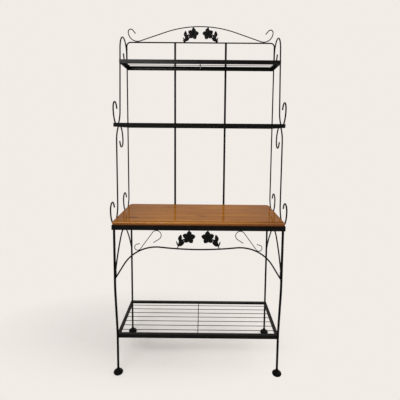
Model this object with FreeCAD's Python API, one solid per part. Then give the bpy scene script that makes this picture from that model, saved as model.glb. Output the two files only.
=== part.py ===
import FreeCAD, Part
import math
import os

# Bakers rack: a wrought-iron stand with a wooden worktop, a low wire shelf and a two-shelf hutch.
#
# Frame: +X to the right, +Y to the wall behind the rack, +Z up. The origin is on the floor under
# the middle of the rack's outline. Lengths are millimetres and angles are degrees.
#
# Heights are taken from the floor, and rises and drops from the part beside them. Depths are
# taken forwards from the wall plane, which is the outer face of the rear rails. Bent rods are
# drawn with a Pen, the way a smith bends them: straight runs and bends, one after the other. To
# keep the model light, round stock has flat sides and bends are made in short straight steps. A
# rod's radius is that of its flats, which touch the rails and the other rods, and a bend's steps
# touch its true arc.

Vector = FreeCAD.Vector
SIDEWAYS = Vector(1, 0, 0)
TO_WALL = Vector(0, 1, 0)
UP = Vector(0, 0, 1)

# ---------------------------------------------------------------- overall sizes
FRAME_WIDTH = 914.0         # outer width of the worktop frame and of both hutch shelves
WORKTOP_DEPTH = 445.0       # outer depths of the three wide frames
SECOND_DEPTH = 370.0
TOP_DEPTH = 223.0
LOWER_SHELF_Z = 228.0       # top faces of the low shelf and of the worktop frame
WORKTOP_FRAME_Z = 864.5
SECOND_SHELF_RISE = 536.5   # from the worktop frame to the second shelf
TOP_SHELF_RISE = 360.0      # and on to the top shelf
TOP_RAIL_RISE = 149.0       # and on to the centre of the hoop's top rail

# ---------------------------------------------------------------- stock
ANGLE_LEG = 21.0            # angle iron of the three shelves, both flanges
WORKTOP_ANGLE_LEG = 25.0    # and of the worktop frame
ANGLE_T = 3.0
HUTCH_ROD_R = 4.0           # hoop and side scrolls
ARCH_ROD_R = 4.0            # arches below the worktop
CREST_ROD_R = 3.0           # crest over the top rail
SCROLL_ROD_R = 2.0          # small apron scrolls
FRONT_LEG_R = 6.35
REAR_LEG_R = 5.8
BAR_WIDTH = 12.7            # flat bars behind the hutch
BAR_T = 3.0
WIRE_R = 1.8
WIRE_PITCH = 45.0
ROD_SIDES = 8
WIRE_SIDES = 6
LEG_SIDES = 12
FOOT_SIDES = 24
BEND_STEP = 16.0            # largest turn between two steps of a bend
BEND_ERROR = 0.3            # and how far their corners may stand off its arc
BRACE_T = 4.0
BRACE_HEIGHT = 9.0

# ---------------------------------------------------------------- wooden worktop
BOARD_T = 22.0
BOARD_SIDE_GAP = 1.0        # the board stops this far inside the frame's sides
BOARD_REAR_GAP = 2.0
BOARD_OVERHANG = 2.0        # and stands this far in front of the frame
BOARD_REAR_R = 24.0
BOARD_FRONT_R = 14.0
NOSE_R = 9.0                # rounded edge
NOSE_STEP = 1.5             # small step between the top face and the rounded edge
NOSE_INSET = 11.0
UNDER_BEVEL = 6.0           # along the board's lower edge

# ---------------------------------------------------------------- legs and feet
LEG_INSET = 2.0             # from a leg to the side flange beside it
LEG_SWEEP = 35.0            # the front legs stand this much further back at the floor
LEG_LEAN = 7.5              # of the slanting run
LEG_KNEE_R = 500.0
LEG_ANKLE_R = 200.0
LEG_UPRIGHT = 5.0           # from the low shelf up to where the sweep ends
FOOT_R = 25.0
FOOT_BASE_R = 19.0
FOOT_BELLY_LOW_Z = 6.0      # between these two heights the foot is at its widest
FOOT_BELLY_HIGH_Z = 14.0
FOOT_SHOULDER_R = 16.0
FOOT_SHOULDER_Z = 21.5
FOOT_WAIST_R = 9.5
FOOT_WAIST_Z = 26.5
FOOT_HEIGHT = 34.0
FOOT_NECK_WALL = 1.6
FOOT_FLOOR = 8.0            # solid metal under the leg's end
FOOT_FIT = 0.1              # gap round the leg in its foot

# ---------------------------------------------------------------- arches below the worktop
SIDE_ARCH_GAP = 55.5        # from the worktop frame down to the side arch's crown
SIDE_ARCH_RISE = 208.0
SIDE_ARCH_SLOPE = 62.6      # where it leaves the legs
SIDE_ARCH_CROWN_SLOPE = 40.0
APRON_SET_BACK = 5.0        # plane of the apron arch, behind the frame's front face
APRON_DROP = 103.5          # from the worktop frame down to the apron arch at the middle
APRON_HUMP = 12.0           # the shoulders stand this much over the middle
APRON_SHOULDER_INSET = 236.0  # from the frame's side in to a shoulder
APRON_SHOULDER_R = 204.0
APRON_SLOPE = 58.5          # of its straight ends

SCROLL_HEAD_INSET = 236.0   # from the frame's side in to an apron scroll's highest place
SCROLL_HEAD_R = 25.0
SCROLL_HEAD_TURN = 147.0
SCROLL_HEAD_TIP = 36.0
SCROLL_REST = 26.0          # place on the apron arch's shoulder where the scroll lies
SCROLL_SEAT = 0.5           # depth of the seat filed into the scroll there
SCROLL_FOOT_R = 16.5
SCROLL_FOOT_HEADING = 168.0
SCROLL_FOOT_TIP = 16.0

# ---------------------------------------------------------------- hutch rods
HOOP_CORNER_R = 24.0
BAR_SPACING = 318.0         # between the centres of the two back bars
BAR_OVERRUN = 3.0           # the bars end this far over the top rail's centre
HOOK_HALF_WIDTH = 74.0
HOOK_DEPTH = 90.0           # from a hook's widest place to the bottom of its belly
HOOK_BELLY_R = 58.0
HOOK_TOP_R = 36.0
HOOK_TURN = 150.0
HOOK_TIP = 22.0
LOWER_ROD_DEPTH = 292.0     # the upright of the lower side rods
UPPER_ARCH_R = 84.0         # over the top of the upper side rods
UPPER_ARCH_RISE = 152.0     # its top, over the top shelf
UPPER_ROD_LEAN = 3.9        # of their long front run
CURL_R = 30.5               # the curl at their rear ends
CURL_TURN = 151.0
CURL_TIP = 64.0

# ---------------------------------------------------------------- crest over the top rail
CREST_RISE = 98.0           # over the top rail's centre
CREST_SLOPE = 18.5          # of its straight runs
CREST_REST_INSET = 63.0     # from the frame's side in to where the crest lies on the rail
CREST_SWEEP_R = 57.0
CREST_CURL_R = 16.0
CREST_CURL_TURN = 140.0
CREST_TIP = 28.0

# ---------------------------------------------------------------- sprigs: a flower and its leaves
APRON_FLOWER_DROP = 37.5    # from the worktop frame down to a flower's centre
CREST_FLOWER_DROP = 42.0    # and from the crest
PETAL_COUNT = 5
PETAL_LENGTH = 35.5
PETAL_WIDTH = 27.0
LEAF_T = 3.0                # thickness of petals and leaves along their ridge
LEAF_EDGE_T = 1.2           # and at their edges
LEAF_STATIONS = 5           # straight stretches along each edge
PETAL_FULLNESS = 1.25       # over 1, it is widest beyond its middle
LEAF_FULLNESS = 1.05
EYE_R = 6.0
EYE_T = 4.5
STEM_R = 2.1
STEM_SIDES = 4
STALK_LENGTH = 16.0         # the leaves fan out from the end of this stalk
STALK_LEAN = 7.5            # which leans this much more than the tall leaf
TALL_LEAF_LENGTH = 59.0
TALL_LEAF_WIDTH = 23.0
INNER_LEAF_LENGTH = 40.0
INNER_LEAF_WIDTH = 16.0
INNER_LEAF_SPREAD = 26.0    # from the tall leaf, towards the flower
LOW_LEAF_LENGTH = 33.0
LOW_LEAF_WIDTH = 16.0
LOW_LEAF_SPREAD = 51.0
THIN_LEAF_LENGTH = 25.0
THIN_LEAF_WIDTH = 7.5
THIN_LEAF_SPREAD = 44.0     # away from the flower
APRON_FLOWER_X = 50.0
APRON_FLOWER_TURN = 5.0     # of its top petal, towards the rack's middle
APRON_SPRAY_X = 112.0
APRON_SPRAY_LEAN = 11.5     # of the tall leaf, towards the flower
CREST_FLOWER_X = 46.0
CREST_FLOWER_TURN = 10.0
CREST_SPRAY_X = 100.5
CREST_SPRAY_LEAN = 3.0

# ---------------------------------------------------------------- values that follow
HALF_WIDTH = FRAME_WIDTH / 2
BOARD_FRONT = WORKTOP_DEPTH + BOARD_OVERHANG
WALL_Y = (BOARD_FRONT - BAR_T) / 2
ROD_X = HALF_WIDTH + HUTCH_ROD_R
HOOP_DEPTH = HUTCH_ROD_R
SECOND_SHELF_Z = WORKTOP_FRAME_Z + SECOND_SHELF_RISE
TOP_SHELF_Z = SECOND_SHELF_Z + TOP_SHELF_RISE
TOP_RAIL_Z = TOP_SHELF_Z + TOP_RAIL_RISE
UPPER_ARCH_Z = TOP_SHELF_Z + UPPER_ARCH_RISE
CREST_Z = TOP_RAIL_Z + CREST_RISE
CREST_REST_X = HALF_WIDTH - CREST_REST_INSET
WORKTOP_UNDERSIDE_Z = WORKTOP_FRAME_Z - WORKTOP_ANGLE_LEG
LEG_TOP_Z = WORKTOP_FRAME_Z - ANGLE_T
FRONT_LEG_X = HALF_WIDTH - ANGLE_T - LEG_INSET - FRONT_LEG_R
FRONT_LEG_DEPTH = WORKTOP_DEPTH - ANGLE_T - FRONT_LEG_R
REAR_LEG_X = HALF_WIDTH - ANGLE_T - LEG_INSET - REAR_LEG_R
REAR_LEG_DEPTH = ANGLE_T + REAR_LEG_R
ANKLE_DEPTH = FRONT_LEG_DEPTH - LEG_SWEEP
LOWER_HALF_WIDTH = FRONT_LEG_X + FRONT_LEG_R
LOWER_FRONT = ANKLE_DEPTH - FRONT_LEG_R
LOWER_REAR = REAR_LEG_DEPTH + REAR_LEG_R
SIDE_ARCH_SPRING_Z = WORKTOP_UNDERSIDE_Z - SIDE_ARCH_GAP - SIDE_ARCH_RISE
APRON_DEPTH = WORKTOP_DEPTH - APRON_SET_BACK
APRON_DIP_Z = WORKTOP_UNDERSIDE_Z - APRON_DROP
APRON_SHOULDER_X = HALF_WIDTH - APRON_SHOULDER_INSET
APRON_SHOULDER_Z = APRON_DIP_Z + APRON_HUMP
SCROLL_HEAD_X = HALF_WIDTH - SCROLL_HEAD_INSET
SPRIG_DEPTH = WORKTOP_DEPTH - ANGLE_T / 2
SCROLL_DEPTH = WORKTOP_DEPTH - ANGLE_T


def sin(angle):
    return math.sin(math.radians(angle))


def cos(angle):
    return math.cos(math.radians(angle))


def rail_middle(top, leg=ANGLE_LEG):
    """The height at which a side rod crosses a shelf's side rail."""
    return top - leg / 2


# ================================================================ bent rods
class Pen:
    """Draws a bent rod's centre line in a plane, as straight runs and bends.

    place maps the plane's two coordinates to a point of the model. The heading is measured from
    the plane's first axis towards its second, and a positive bend turns the same way.
    """

    def __init__(self, place, first, second, heading):
        self.place = place
        self.at = (first, second)
        self.heading = heading
        self.points = [place(first, second)]

    def line(self, length):
        """A straight run."""
        first = self.at[0] + length * cos(self.heading)
        second = self.at[1] + length * sin(self.heading)
        self.at = (first, second)
        self.points.append(self.place(first, second))
        return self

    def bend(self, radius, turn):
        """A bend, to the left where the turn is positive, in steps that touch its arc."""
        largest = 2 * math.degrees(math.acos(radius / (radius + BEND_ERROR)))
        steps = math.ceil(abs(turn) / min(largest, BEND_STEP))
        for _ in range(steps):
            half = radius * math.tan(math.radians(abs(turn) / steps / 2))
            self.line(half)
            self.heading += turn / steps
            self.line(half)
        return self


def side_plane(x):
    """Maps depth and height to a point beside the rack."""
    return lambda depth, height: Vector(x, WALL_Y - depth, height)


def front_plane(depth):
    """Maps sideways distance and height to a point across the rack."""
    return lambda x, height: Vector(x, WALL_Y - depth, height)


def floor_plane(height):
    """Maps sideways distance and depth to a point at one height."""
    return lambda x, depth: Vector(x, WALL_Y - depth, height)


def both_ways(place, height, draw):
    """The points of a symmetrical rod, drawn from its middle to the right and to the left."""
    right = Pen(place, 0.0, height, 0.0)
    draw(right, 1)
    left = Pen(place, 0.0, height, 180.0)
    draw(left, -1)
    return left.points[::-1] + right.points


def ring(centre, along, across, radius, sides):
    """The corners of a flat-sided section, with one flat facing across."""
    other = Vector(along).normalize().cross(across)
    reach = radius / cos(180.0 / sides)
    corners = []
    for index in range(sides):
        angle = (index + 0.5) * 360.0 / sides
        corners.append(centre + (across * cos(angle) + other * sin(angle)) * reach)
    return corners


def flat(corners):
    """A flat face between corners."""
    return Part.Face(Part.makePolygon([*corners, corners[0]]))


def through(rings):
    """The solid that a row of rings, each with as many corners, bounds."""
    faces = [flat(rings[0]), flat(rings[-1])]
    for near, far in zip(rings, rings[1:]):
        for index in range(len(near)):
            faces.append(flat([near[index - 1], near[index], far[index], far[index - 1]]))
    solid = Part.Solid(Part.Shell(faces))
    if solid.Volume < 0:
        solid.reverse()
    return solid


def turning(points):
    """The points at which a row of points changes direction, and its two ends."""
    kept = [points[0]]
    for at, after in zip(points[1:], points[2:]):
        into = at - kept[-1]
        out = after - at
        if into.cross(out).Length > 1e-6 * into.Length:
            kept.append(at)
    return [*kept, points[-1]]


def rod(points, radius, across, sides=ROD_SIDES):
    """A rod along a row of points, mitred where it turns, that starts with a flat across."""
    points = turning(points)
    runs = [(end - start).normalize() for start, end in zip(points, points[1:])]
    rings = [ring(points[0], runs[0], across, radius, sides)]
    for end, run, after in zip(points[1:], runs, [*runs[1:], runs[-1]]):
        mitre = run + after
        corners = []
        for corner in rings[-1]:
            corners.append(corner + run * ((end - corner).dot(mitre) / run.dot(mitre)))
        rings.append(corners)
    return through(rings)


def mirrored(shape):
    """The same piece on the rack's other side."""
    return shape.mirror(Vector(0, 0, 0), SIDEWAYS)


def box(x, depth, z):
    """A box between pairs of sideways distances, depths and heights."""
    corner = Vector(x[0], WALL_Y - depth[1], z[0])
    return Part.makeBox(x[1] - x[0], depth[1] - depth[0], z[1] - z[0], corner)


# ================================================================ frames, shelves and worktop
def angle_ring(half_width, rear, front, top, leg):
    """A closed angle-iron frame: a flat flange on top and an upright flange all round."""
    bottom = top - leg
    under = top - ANGLE_T
    inner = half_width - ANGLE_T
    clear = half_width - leg
    ring = box((-half_width, half_width), (rear, front), (bottom, top))
    ring = ring.cut(box((-inner, inner), (rear + ANGLE_T, front - ANGLE_T), (bottom, under)))
    return ring.cut(box((-clear, clear), (rear + leg, front - leg), (bottom, top)))


def mitred_rails(name, half_width, rear, front, top, leg=ANGLE_LEG):
    """The four rails of an angle-iron frame, mitred at the corners."""
    ring = angle_ring(half_width, rear, front, top, leg)
    middle = (front + rear) / 2
    apex = half_width - (front - rear) / 2
    outlines = {
        "front": [(-half_width, front), (half_width, front), (apex, middle), (-apex, middle)],
        "rear": [(-half_width, rear), (half_width, rear), (apex, middle), (-apex, middle)],
        "left": [(-half_width, rear), (-half_width, front), (-apex, middle)],
        "right": [(half_width, rear), (half_width, front), (apex, middle)],
    }
    place = floor_plane(top - leg)
    rails = {}
    for side, outline in outlines.items():
        points = [place(x, depth) for x, depth in outline]
        wedge = flat(points).extrude(UP * leg)
        rails[f"{name}_rail_{side}"] = ring.common(wedge)
    return rails


def shelf_grid(half_width, rear, front, top):
    """Wires from side rail to side rail, let into a flat brace that runs from front to rear."""
    reach = half_width - ANGLE_T
    height = top - ANGLE_T - WIRE_R
    clear = front - rear - 2 * ANGLE_LEG
    count = int(clear // WIRE_PITCH)
    nearest = (front + rear - WIRE_PITCH * (count - 1)) / 2
    brace_x = (-BRACE_T / 2, BRACE_T / 2)
    grid = box(brace_x, (rear + ANGLE_T, front - ANGLE_T), (height - BRACE_HEIGHT, height))
    for index in range(count):
        place = front_plane(nearest + WIRE_PITCH * index)
        ends = [place(-reach, height), place(reach, height)]
        grid = grid.fuse(rod(ends, WIRE_R, UP, WIRE_SIDES))
    return grid


def board_slab(inset, thickness):
    """The worktop's outline, brought in by an inset, as a flat slab."""
    half = HALF_WIDTH - BOARD_SIDE_GAP - inset
    depth = (BOARD_REAR_GAP + inset, BOARD_FRONT - inset)
    slab = box((-half, half), depth, (WORKTOP_FRAME_Z, WORKTOP_FRAME_Z + thickness))
    upright = [edge for edge in slab.Edges if edge.BoundBox.ZLength > thickness / 2]
    front = [edge for edge in upright if edge.BoundBox.YMax < 0]
    slab = slab.makeFillet(BOARD_FRONT_R - inset, front)
    upright = [edge for edge in slab.Edges if edge.BoundBox.ZLength > thickness / 2]
    rear = [edge for edge in upright if edge.BoundBox.YMin > 0]
    return slab.makeFillet(BOARD_REAR_R - inset, rear)


def worktop_board():
    """The wooden top: a small step over a rounded edge, and a bevel below it."""
    rim_z = WORKTOP_FRAME_Z + BOARD_T - NOSE_STEP
    slab = board_slab(0.0, BOARD_T - NOSE_STEP)
    under = [edge for edge in slab.Edges if edge.BoundBox.ZMax < WORKTOP_FRAME_Z + NOSE_STEP]
    slab = slab.makeChamfer(UNDER_BEVEL, under)
    rim = [edge for edge in slab.Edges if edge.BoundBox.ZMin > rim_z - NOSE_STEP]
    slab = slab.makeFillet(NOSE_R, rim)
    return slab.fuse(board_slab(NOSE_INSET, BOARD_T)).removeSplitter()


# ================================================================ legs and feet
def front_leg():
    """A right front leg: straight under the worktop, swept back, upright again in its foot."""
    both_r = LEG_KNEE_R + LEG_ANKLE_R
    slant = (LEG_SWEEP - both_r * (1 - cos(LEG_LEAN))) / sin(LEG_LEAN)
    sweep = both_r * sin(LEG_LEAN) + slant * cos(LEG_LEAN)
    pen = Pen(side_plane(FRONT_LEG_X), FRONT_LEG_DEPTH, LEG_TOP_Z, -90.0)
    pen.line(LEG_TOP_Z - LOWER_SHELF_Z - LEG_UPRIGHT - sweep)
    pen.bend(LEG_KNEE_R, -LEG_LEAN).line(slant).bend(LEG_ANKLE_R, LEG_LEAN)
    pen.line(pen.at[1] - FOOT_FLOOR)
    return rod(pen.points, FRONT_LEG_R, SIDEWAYS, LEG_SIDES)


def rear_leg():
    """A right rear leg, straight."""
    place = side_plane(REAR_LEG_X)
    ends = [place(REAR_LEG_DEPTH, FOOT_FLOOR), place(REAR_LEG_DEPTH, LEG_TOP_Z)]
    return rod(ends, REAR_LEG_R, SIDEWAYS, LEG_SIDES)


def bun_foot(x, depth, leg_r):
    """A turned bun foot with a socket for its leg."""
    place = floor_plane(0.0)
    base = place(x, depth)
    socket_r = leg_r + FOOT_FIT
    turnings = [
        (FOOT_BASE_R, 0.0),
        (FOOT_R, FOOT_BELLY_LOW_Z),
        (FOOT_R, FOOT_BELLY_HIGH_Z),
        (FOOT_SHOULDER_R, FOOT_SHOULDER_Z),
        (FOOT_WAIST_R, FOOT_WAIST_Z),
        (socket_r + FOOT_NECK_WALL, FOOT_HEIGHT),
    ]
    foot = through([ring(base + UP * z, UP, SIDEWAYS, r, FOOT_SIDES) for r, z in turnings])
    socket = [base + UP * FOOT_FLOOR, base + UP * FOOT_HEIGHT]
    return foot.cut(rod(socket, socket_r, SIDEWAYS, LEG_SIDES))


# ================================================================ below the worktop
def side_arch():
    """The right side arch, coped to the front and the rear leg.

    Its flanks and its crown are round, and their radii follow from the span and the rise.
    """
    half = (FRONT_LEG_DEPTH - REAR_LEG_DEPTH) / 2
    middle = (FRONT_LEG_DEPTH + REAR_LEG_DEPTH) / 2
    flank_run = sin(SIDE_ARCH_SLOPE) - sin(SIDE_ARCH_CROWN_SLOPE)
    flank_rise = cos(SIDE_ARCH_CROWN_SLOPE) - cos(SIDE_ARCH_SLOPE)
    crown_run = sin(SIDE_ARCH_CROWN_SLOPE)
    crown_rise = 1 - cos(SIDE_ARCH_CROWN_SLOPE)
    scale = flank_run * crown_rise - crown_run * flank_rise
    flank_r = (half * crown_rise - crown_run * SIDE_ARCH_RISE) / scale
    crown_r = (flank_run * SIDE_ARCH_RISE - flank_rise * half) / scale
    flank_turn = SIDE_ARCH_SLOPE - SIDE_ARCH_CROWN_SLOPE
    pen = Pen(side_plane(FRONT_LEG_X), middle - half, SIDE_ARCH_SPRING_Z, SIDE_ARCH_SLOPE)
    pen.bend(flank_r, -flank_turn)
    pen.bend(crown_r, -2 * SIDE_ARCH_CROWN_SLOPE)
    pen.bend(flank_r, -flank_turn)
    return rod(pen.points, ARCH_ROD_R, SIDEWAYS).cut(front_leg()).cut(rear_leg())


def apron_sag():
    """Slope at the ends of the apron arch's dip, and the dip's radius."""
    drop = APRON_SHOULDER_Z - APRON_DIP_Z
    slope = 2 * math.degrees(math.atan2(drop, APRON_SHOULDER_X))
    return slope, APRON_SHOULDER_X / sin(slope) - APRON_SHOULDER_R


def apron_arch():
    """The arch between the front legs: a dip, two shoulders and straight ends."""
    slope, dip_r = apron_sag()

    def draw(pen, way):
        pen.bend(dip_r, way * slope)
        pen.bend(APRON_SHOULDER_R, -way * (slope + APRON_SLOPE))
        pen.line((FRONT_LEG_X - abs(pen.at[0])) / cos(APRON_SLOPE))

    arch = rod(both_ways(front_plane(APRON_DEPTH), APRON_DIP_Z, draw), ARCH_ROD_R, TO_WALL)
    return arch.cut(front_leg()).cut(mirrored(front_leg()))


def apron_scroll():
    """A right apron scroll: it hangs from the frame and lies on the apron arch's shoulder."""
    reach = APRON_SHOULDER_R + ARCH_ROD_R + SCROLL_ROD_R + SCROLL_FOOT_R - SCROLL_SEAT
    head_z = WORKTOP_UNDERSIDE_Z - SCROLL_ROD_R
    foot_x = APRON_SHOULDER_X + reach * sin(SCROLL_REST)
    foot_z = APRON_SHOULDER_Z - APRON_SHOULDER_R + reach * cos(SCROLL_REST)
    across = foot_x - SCROLL_HEAD_X
    down = head_z - SCROLL_HEAD_R - foot_z
    span = math.hypot(across, down)
    both_r = SCROLL_HEAD_R + SCROLL_FOOT_R
    slope = math.degrees(math.atan2(down, across) + math.asin(both_r / span))
    place = front_plane(SCROLL_DEPTH)
    foot = Pen(place, SCROLL_HEAD_X, head_z, 0.0)
    foot.bend(SCROLL_HEAD_R, -slope).line(math.sqrt(span ** 2 - both_r ** 2))
    foot.bend(SCROLL_FOOT_R, slope + SCROLL_FOOT_HEADING).line(SCROLL_FOOT_TIP)
    head = Pen(place, SCROLL_HEAD_X, head_z, 180.0)
    head.bend(SCROLL_HEAD_R, SCROLL_HEAD_TURN).line(SCROLL_HEAD_TIP)
    points = head.points[::-1] + foot.points
    return rod(points, SCROLL_ROD_R, TO_WALL).cut(apron_arch())


# ================================================================ hutch
def hook_side():
    """Radius and turn of the flatter bends on both sides of a hook's belly."""
    rest = HOOK_DEPTH - HOOK_BELLY_R
    radius = HOOK_HALF_WIDTH ** 2 + rest ** 2 - HOOK_BELLY_R ** 2
    radius /= 2 * (HOOK_HALF_WIDTH - HOOK_BELLY_R)
    return radius, math.degrees(math.atan2(rest, radius - HOOK_HALF_WIDTH))


def draw_hook(pen, lean=0.0):
    """A J-hook at the end of a run: an egg-shaped belly, a tight return and a straight tip."""
    side_r, side_turn = hook_side()
    pen.bend(side_r, side_turn - lean)
    pen.bend(HOOK_BELLY_R, 180.0 - 2 * side_turn)
    pen.bend(side_r, side_turn)
    pen.bend(HOOK_TOP_R, HOOK_TURN)
    pen.line(HOOK_TIP)


def hooked_run(place, depth, start, bottom):
    """The points of an upright from a start height down to a hook that bellies at a height."""
    pen = Pen(place, depth, start, -90.0)
    pen.line(start - bottom - HOOK_DEPTH)
    draw_hook(pen)
    return pen.points


def hoop():
    """Both rear uprights and the top rail in one rod, with a hook beside each worktop rail."""
    shoulder = TOP_RAIL_Z - HOOP_CORNER_R
    belly = rail_middle(WORKTOP_FRAME_Z, WORKTOP_ANGLE_LEG)
    left = hooked_run(side_plane(-ROD_X), HOOP_DEPTH, shoulder, belly)
    right = hooked_run(side_plane(ROD_X), HOOP_DEPTH, shoulder, belly)
    top = Pen(front_plane(HOOP_DEPTH), -ROD_X, shoulder, 90.0)
    top.bend(HOOP_CORNER_R, -90.0).line(2 * (ROD_X - HOOP_CORNER_R)).bend(HOOP_CORNER_R, -90.0)
    return rod(left[::-1] + top.points + right, HUTCH_ROD_R, SIDEWAYS)


def back_bar():
    """The right flat bar behind the hutch, from the top rail down to the worktop frame."""
    x = ((BAR_SPACING - BAR_WIDTH) / 2, (BAR_SPACING + BAR_WIDTH) / 2)
    return box(x, (-BAR_T, 0.0), (WORKTOP_UNDERSIDE_Z, TOP_RAIL_Z + BAR_OVERRUN))


def lower_rod():
    """The right lower side rod: a hook at the worktop and an inverted one at the shelf above."""
    place = side_plane(ROD_X)
    low = rail_middle(WORKTOP_FRAME_Z, WORKTOP_ANGLE_LEG)
    high = rail_middle(SECOND_SHELF_Z)
    middle = (low + high) / 2
    down = hooked_run(place, LOWER_ROD_DEPTH, middle, low)
    up = Pen(place, LOWER_ROD_DEPTH, middle, 90.0)
    up.line(high - middle - HOOK_DEPTH)
    draw_hook(up)
    return rod(up.points[::-1] + down, HUTCH_ROD_R, SIDEWAYS)


def upper_rod():
    """The right upper side rod: a curl, an arch, a leaning run and a hook at the second shelf."""
    place = side_plane(ROD_X)
    rear = HOOP_DEPTH + 2 * HUTCH_ROD_R
    spring = UPPER_ARCH_Z - UPPER_ARCH_R
    curl = Pen(place, rear, spring, -90.0)
    curl.line(spring - rail_middle(TOP_SHELF_Z) - CURL_R)
    curl.bend(CURL_R, CURL_TURN).line(CURL_TIP)
    front = Pen(place, rear, spring, 90.0)
    front.bend(UPPER_ARCH_R, UPPER_ROD_LEAN - 180.0)
    side_r, side_turn = hook_side()
    bottom = rail_middle(SECOND_SHELF_Z) + HOOK_DEPTH - side_r * sin(UPPER_ROD_LEAN)
    front.line((front.at[1] - bottom) / cos(UPPER_ROD_LEAN))
    draw_hook(front, UPPER_ROD_LEAN)
    return rod(curl.points[::-1] + front.points, HUTCH_ROD_R, SIDEWAYS)


def crest_radius():
    """Radius of the crest's round middle, which lets its straight runs meet the end curls."""
    rise = CREST_Z - TOP_RAIL_Z - HUTCH_ROD_R - CREST_ROD_R
    tangent = sin(CREST_SLOPE) / cos(CREST_SLOPE)
    both_r = (CREST_REST_X * tangent - rise) / (1 / cos(CREST_SLOPE) - 1)
    return both_r - CREST_SWEEP_R


def crest_arch():
    """The thin arch over the top rail, which lies on the rail and ends in a curl at each side."""
    radius = crest_radius()
    run = CREST_REST_X - (radius + CREST_SWEEP_R) * sin(CREST_SLOPE)

    def draw(pen, way):
        pen.bend(radius, -way * CREST_SLOPE)
        pen.line(run / cos(CREST_SLOPE))
        pen.bend(CREST_SWEEP_R, way * CREST_SLOPE)
        pen.bend(CREST_SWEEP_R, way * 90.0)
        pen.bend(CREST_CURL_R, way * CREST_CURL_TURN)
        pen.line(CREST_TIP)

    return rod(both_ways(front_plane(HOOP_DEPTH), CREST_Z, draw), CREST_ROD_R, TO_WALL)


# ================================================================ sprigs
def leaf(length, width, fullness, angle, base):
    """A pointed leaf with a raised midrib, flat at the back, turned up from the +X direction."""
    half = width / 2
    upper = []
    lower = []
    for index in range(1, LEAF_STATIONS):
        part = index / LEAF_STATIONS
        reach = half * sin(180.0 * part ** fullness)
        upper.append(Vector(length * part, 0, reach))
        lower.append(Vector(length * part, 0, -reach))
    root = Vector(0, 0, 0)
    tip = Vector(length, 0, 0)
    outline = [root, *upper, tip, *lower[::-1]]
    blade = flat(outline).extrude(TO_WALL * -LEAF_T)
    roof = [
        Vector(0, 0, -half),
        Vector(0, -LEAF_EDGE_T, -half),
        Vector(0, -LEAF_T, 0),
        Vector(0, -LEAF_EDGE_T, half),
        Vector(0, 0, half),
    ]
    blade = blade.common(flat(roof).extrude(tip))
    blade.rotate(root, TO_WALL, -angle)
    blade.translate(base)
    return blade


def flower(centre, turn):
    """A star of pointed petals round a raised eye, turned to the left from one petal up."""
    outward = TO_WALL * -1
    foot = ring(centre, outward, UP, EYE_R, ROD_SIDES)
    top = ring(centre + outward * EYE_T, outward, UP, EYE_R / 2, ROD_SIDES)
    bloom = through([foot, top])
    for index in range(PETAL_COUNT):
        angle = 90.0 + turn + index * 360.0 / PETAL_COUNT
        bloom = bloom.fuse(leaf(PETAL_LENGTH, PETAL_WIDTH, PETAL_FULLNESS, angle, centre))
    return bloom


def stem(start, end):
    """A square stem in the middle of the sprig's thickness."""
    middle = TO_WALL * (-LEAF_T / 2)
    return rod([start + middle, end + middle], STEM_R, TO_WALL, STEM_SIDES)


def sprig(depth, flower_x, hang_z, drop, turn, spray_x, foot_z, lean):
    """A right sprig: a hanging flower and a spray of leaves that stands beside it.

    depth is the middle of its thickness, hang_z the height of what the flower hangs from, drop
    the flower's distance below that, and foot_z the height of what the spray stands on.
    """
    place = front_plane(depth - LEAF_T / 2)
    heart = place(flower_x, hang_z - drop)
    foot = place(spray_x, foot_z)
    tall = 90.0 + lean
    stalk = tall + STALK_LEAN
    fork = foot + Vector(cos(stalk), 0, sin(stalk)) * STALK_LENGTH
    inner = tall + INNER_LEAF_SPREAD
    pieces = [
        stem(heart, place(flower_x, hang_z)),
        stem(foot, fork),
        stem(fork, heart),
        leaf(TALL_LEAF_LENGTH, TALL_LEAF_WIDTH, LEAF_FULLNESS, tall, fork),
        leaf(INNER_LEAF_LENGTH, INNER_LEAF_WIDTH, LEAF_FULLNESS, inner, fork),
        leaf(LOW_LEAF_LENGTH, LOW_LEAF_WIDTH, LEAF_FULLNESS, tall + LOW_LEAF_SPREAD, fork),
        leaf(THIN_LEAF_LENGTH, THIN_LEAF_WIDTH, LEAF_FULLNESS, tall - THIN_LEAF_SPREAD, fork),
    ]
    return flower(heart, turn).multiFuse(pieces)


def apron_sprig():
    """The right sprig between the apron arch and the worktop frame."""
    dip_r = apron_sag()[1]
    foot_z = APRON_DIP_Z + dip_r - math.sqrt(dip_r ** 2 - APRON_SPRAY_X ** 2)
    flower_at = (APRON_FLOWER_X, WORKTOP_UNDERSIDE_Z, APRON_FLOWER_DROP, APRON_FLOWER_TURN)
    whole = sprig(SPRIG_DEPTH, *flower_at, APRON_SPRAY_X, foot_z, APRON_SPRAY_LEAN)
    return whole.cut(apron_arch())


def crest_sprig():
    """The right sprig between the top rail and the crest arch."""
    radius = crest_radius()
    hang_z = CREST_Z - radius + math.sqrt(radius ** 2 - CREST_FLOWER_X ** 2)
    flower_at = (CREST_FLOWER_X, hang_z, CREST_FLOWER_DROP, CREST_FLOWER_TURN)
    whole = sprig(HOOP_DEPTH, *flower_at, CREST_SPRAY_X, TOP_RAIL_Z, CREST_SPRAY_LEAN)
    return whole.cut(hoop()).cut(crest_arch())


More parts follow.
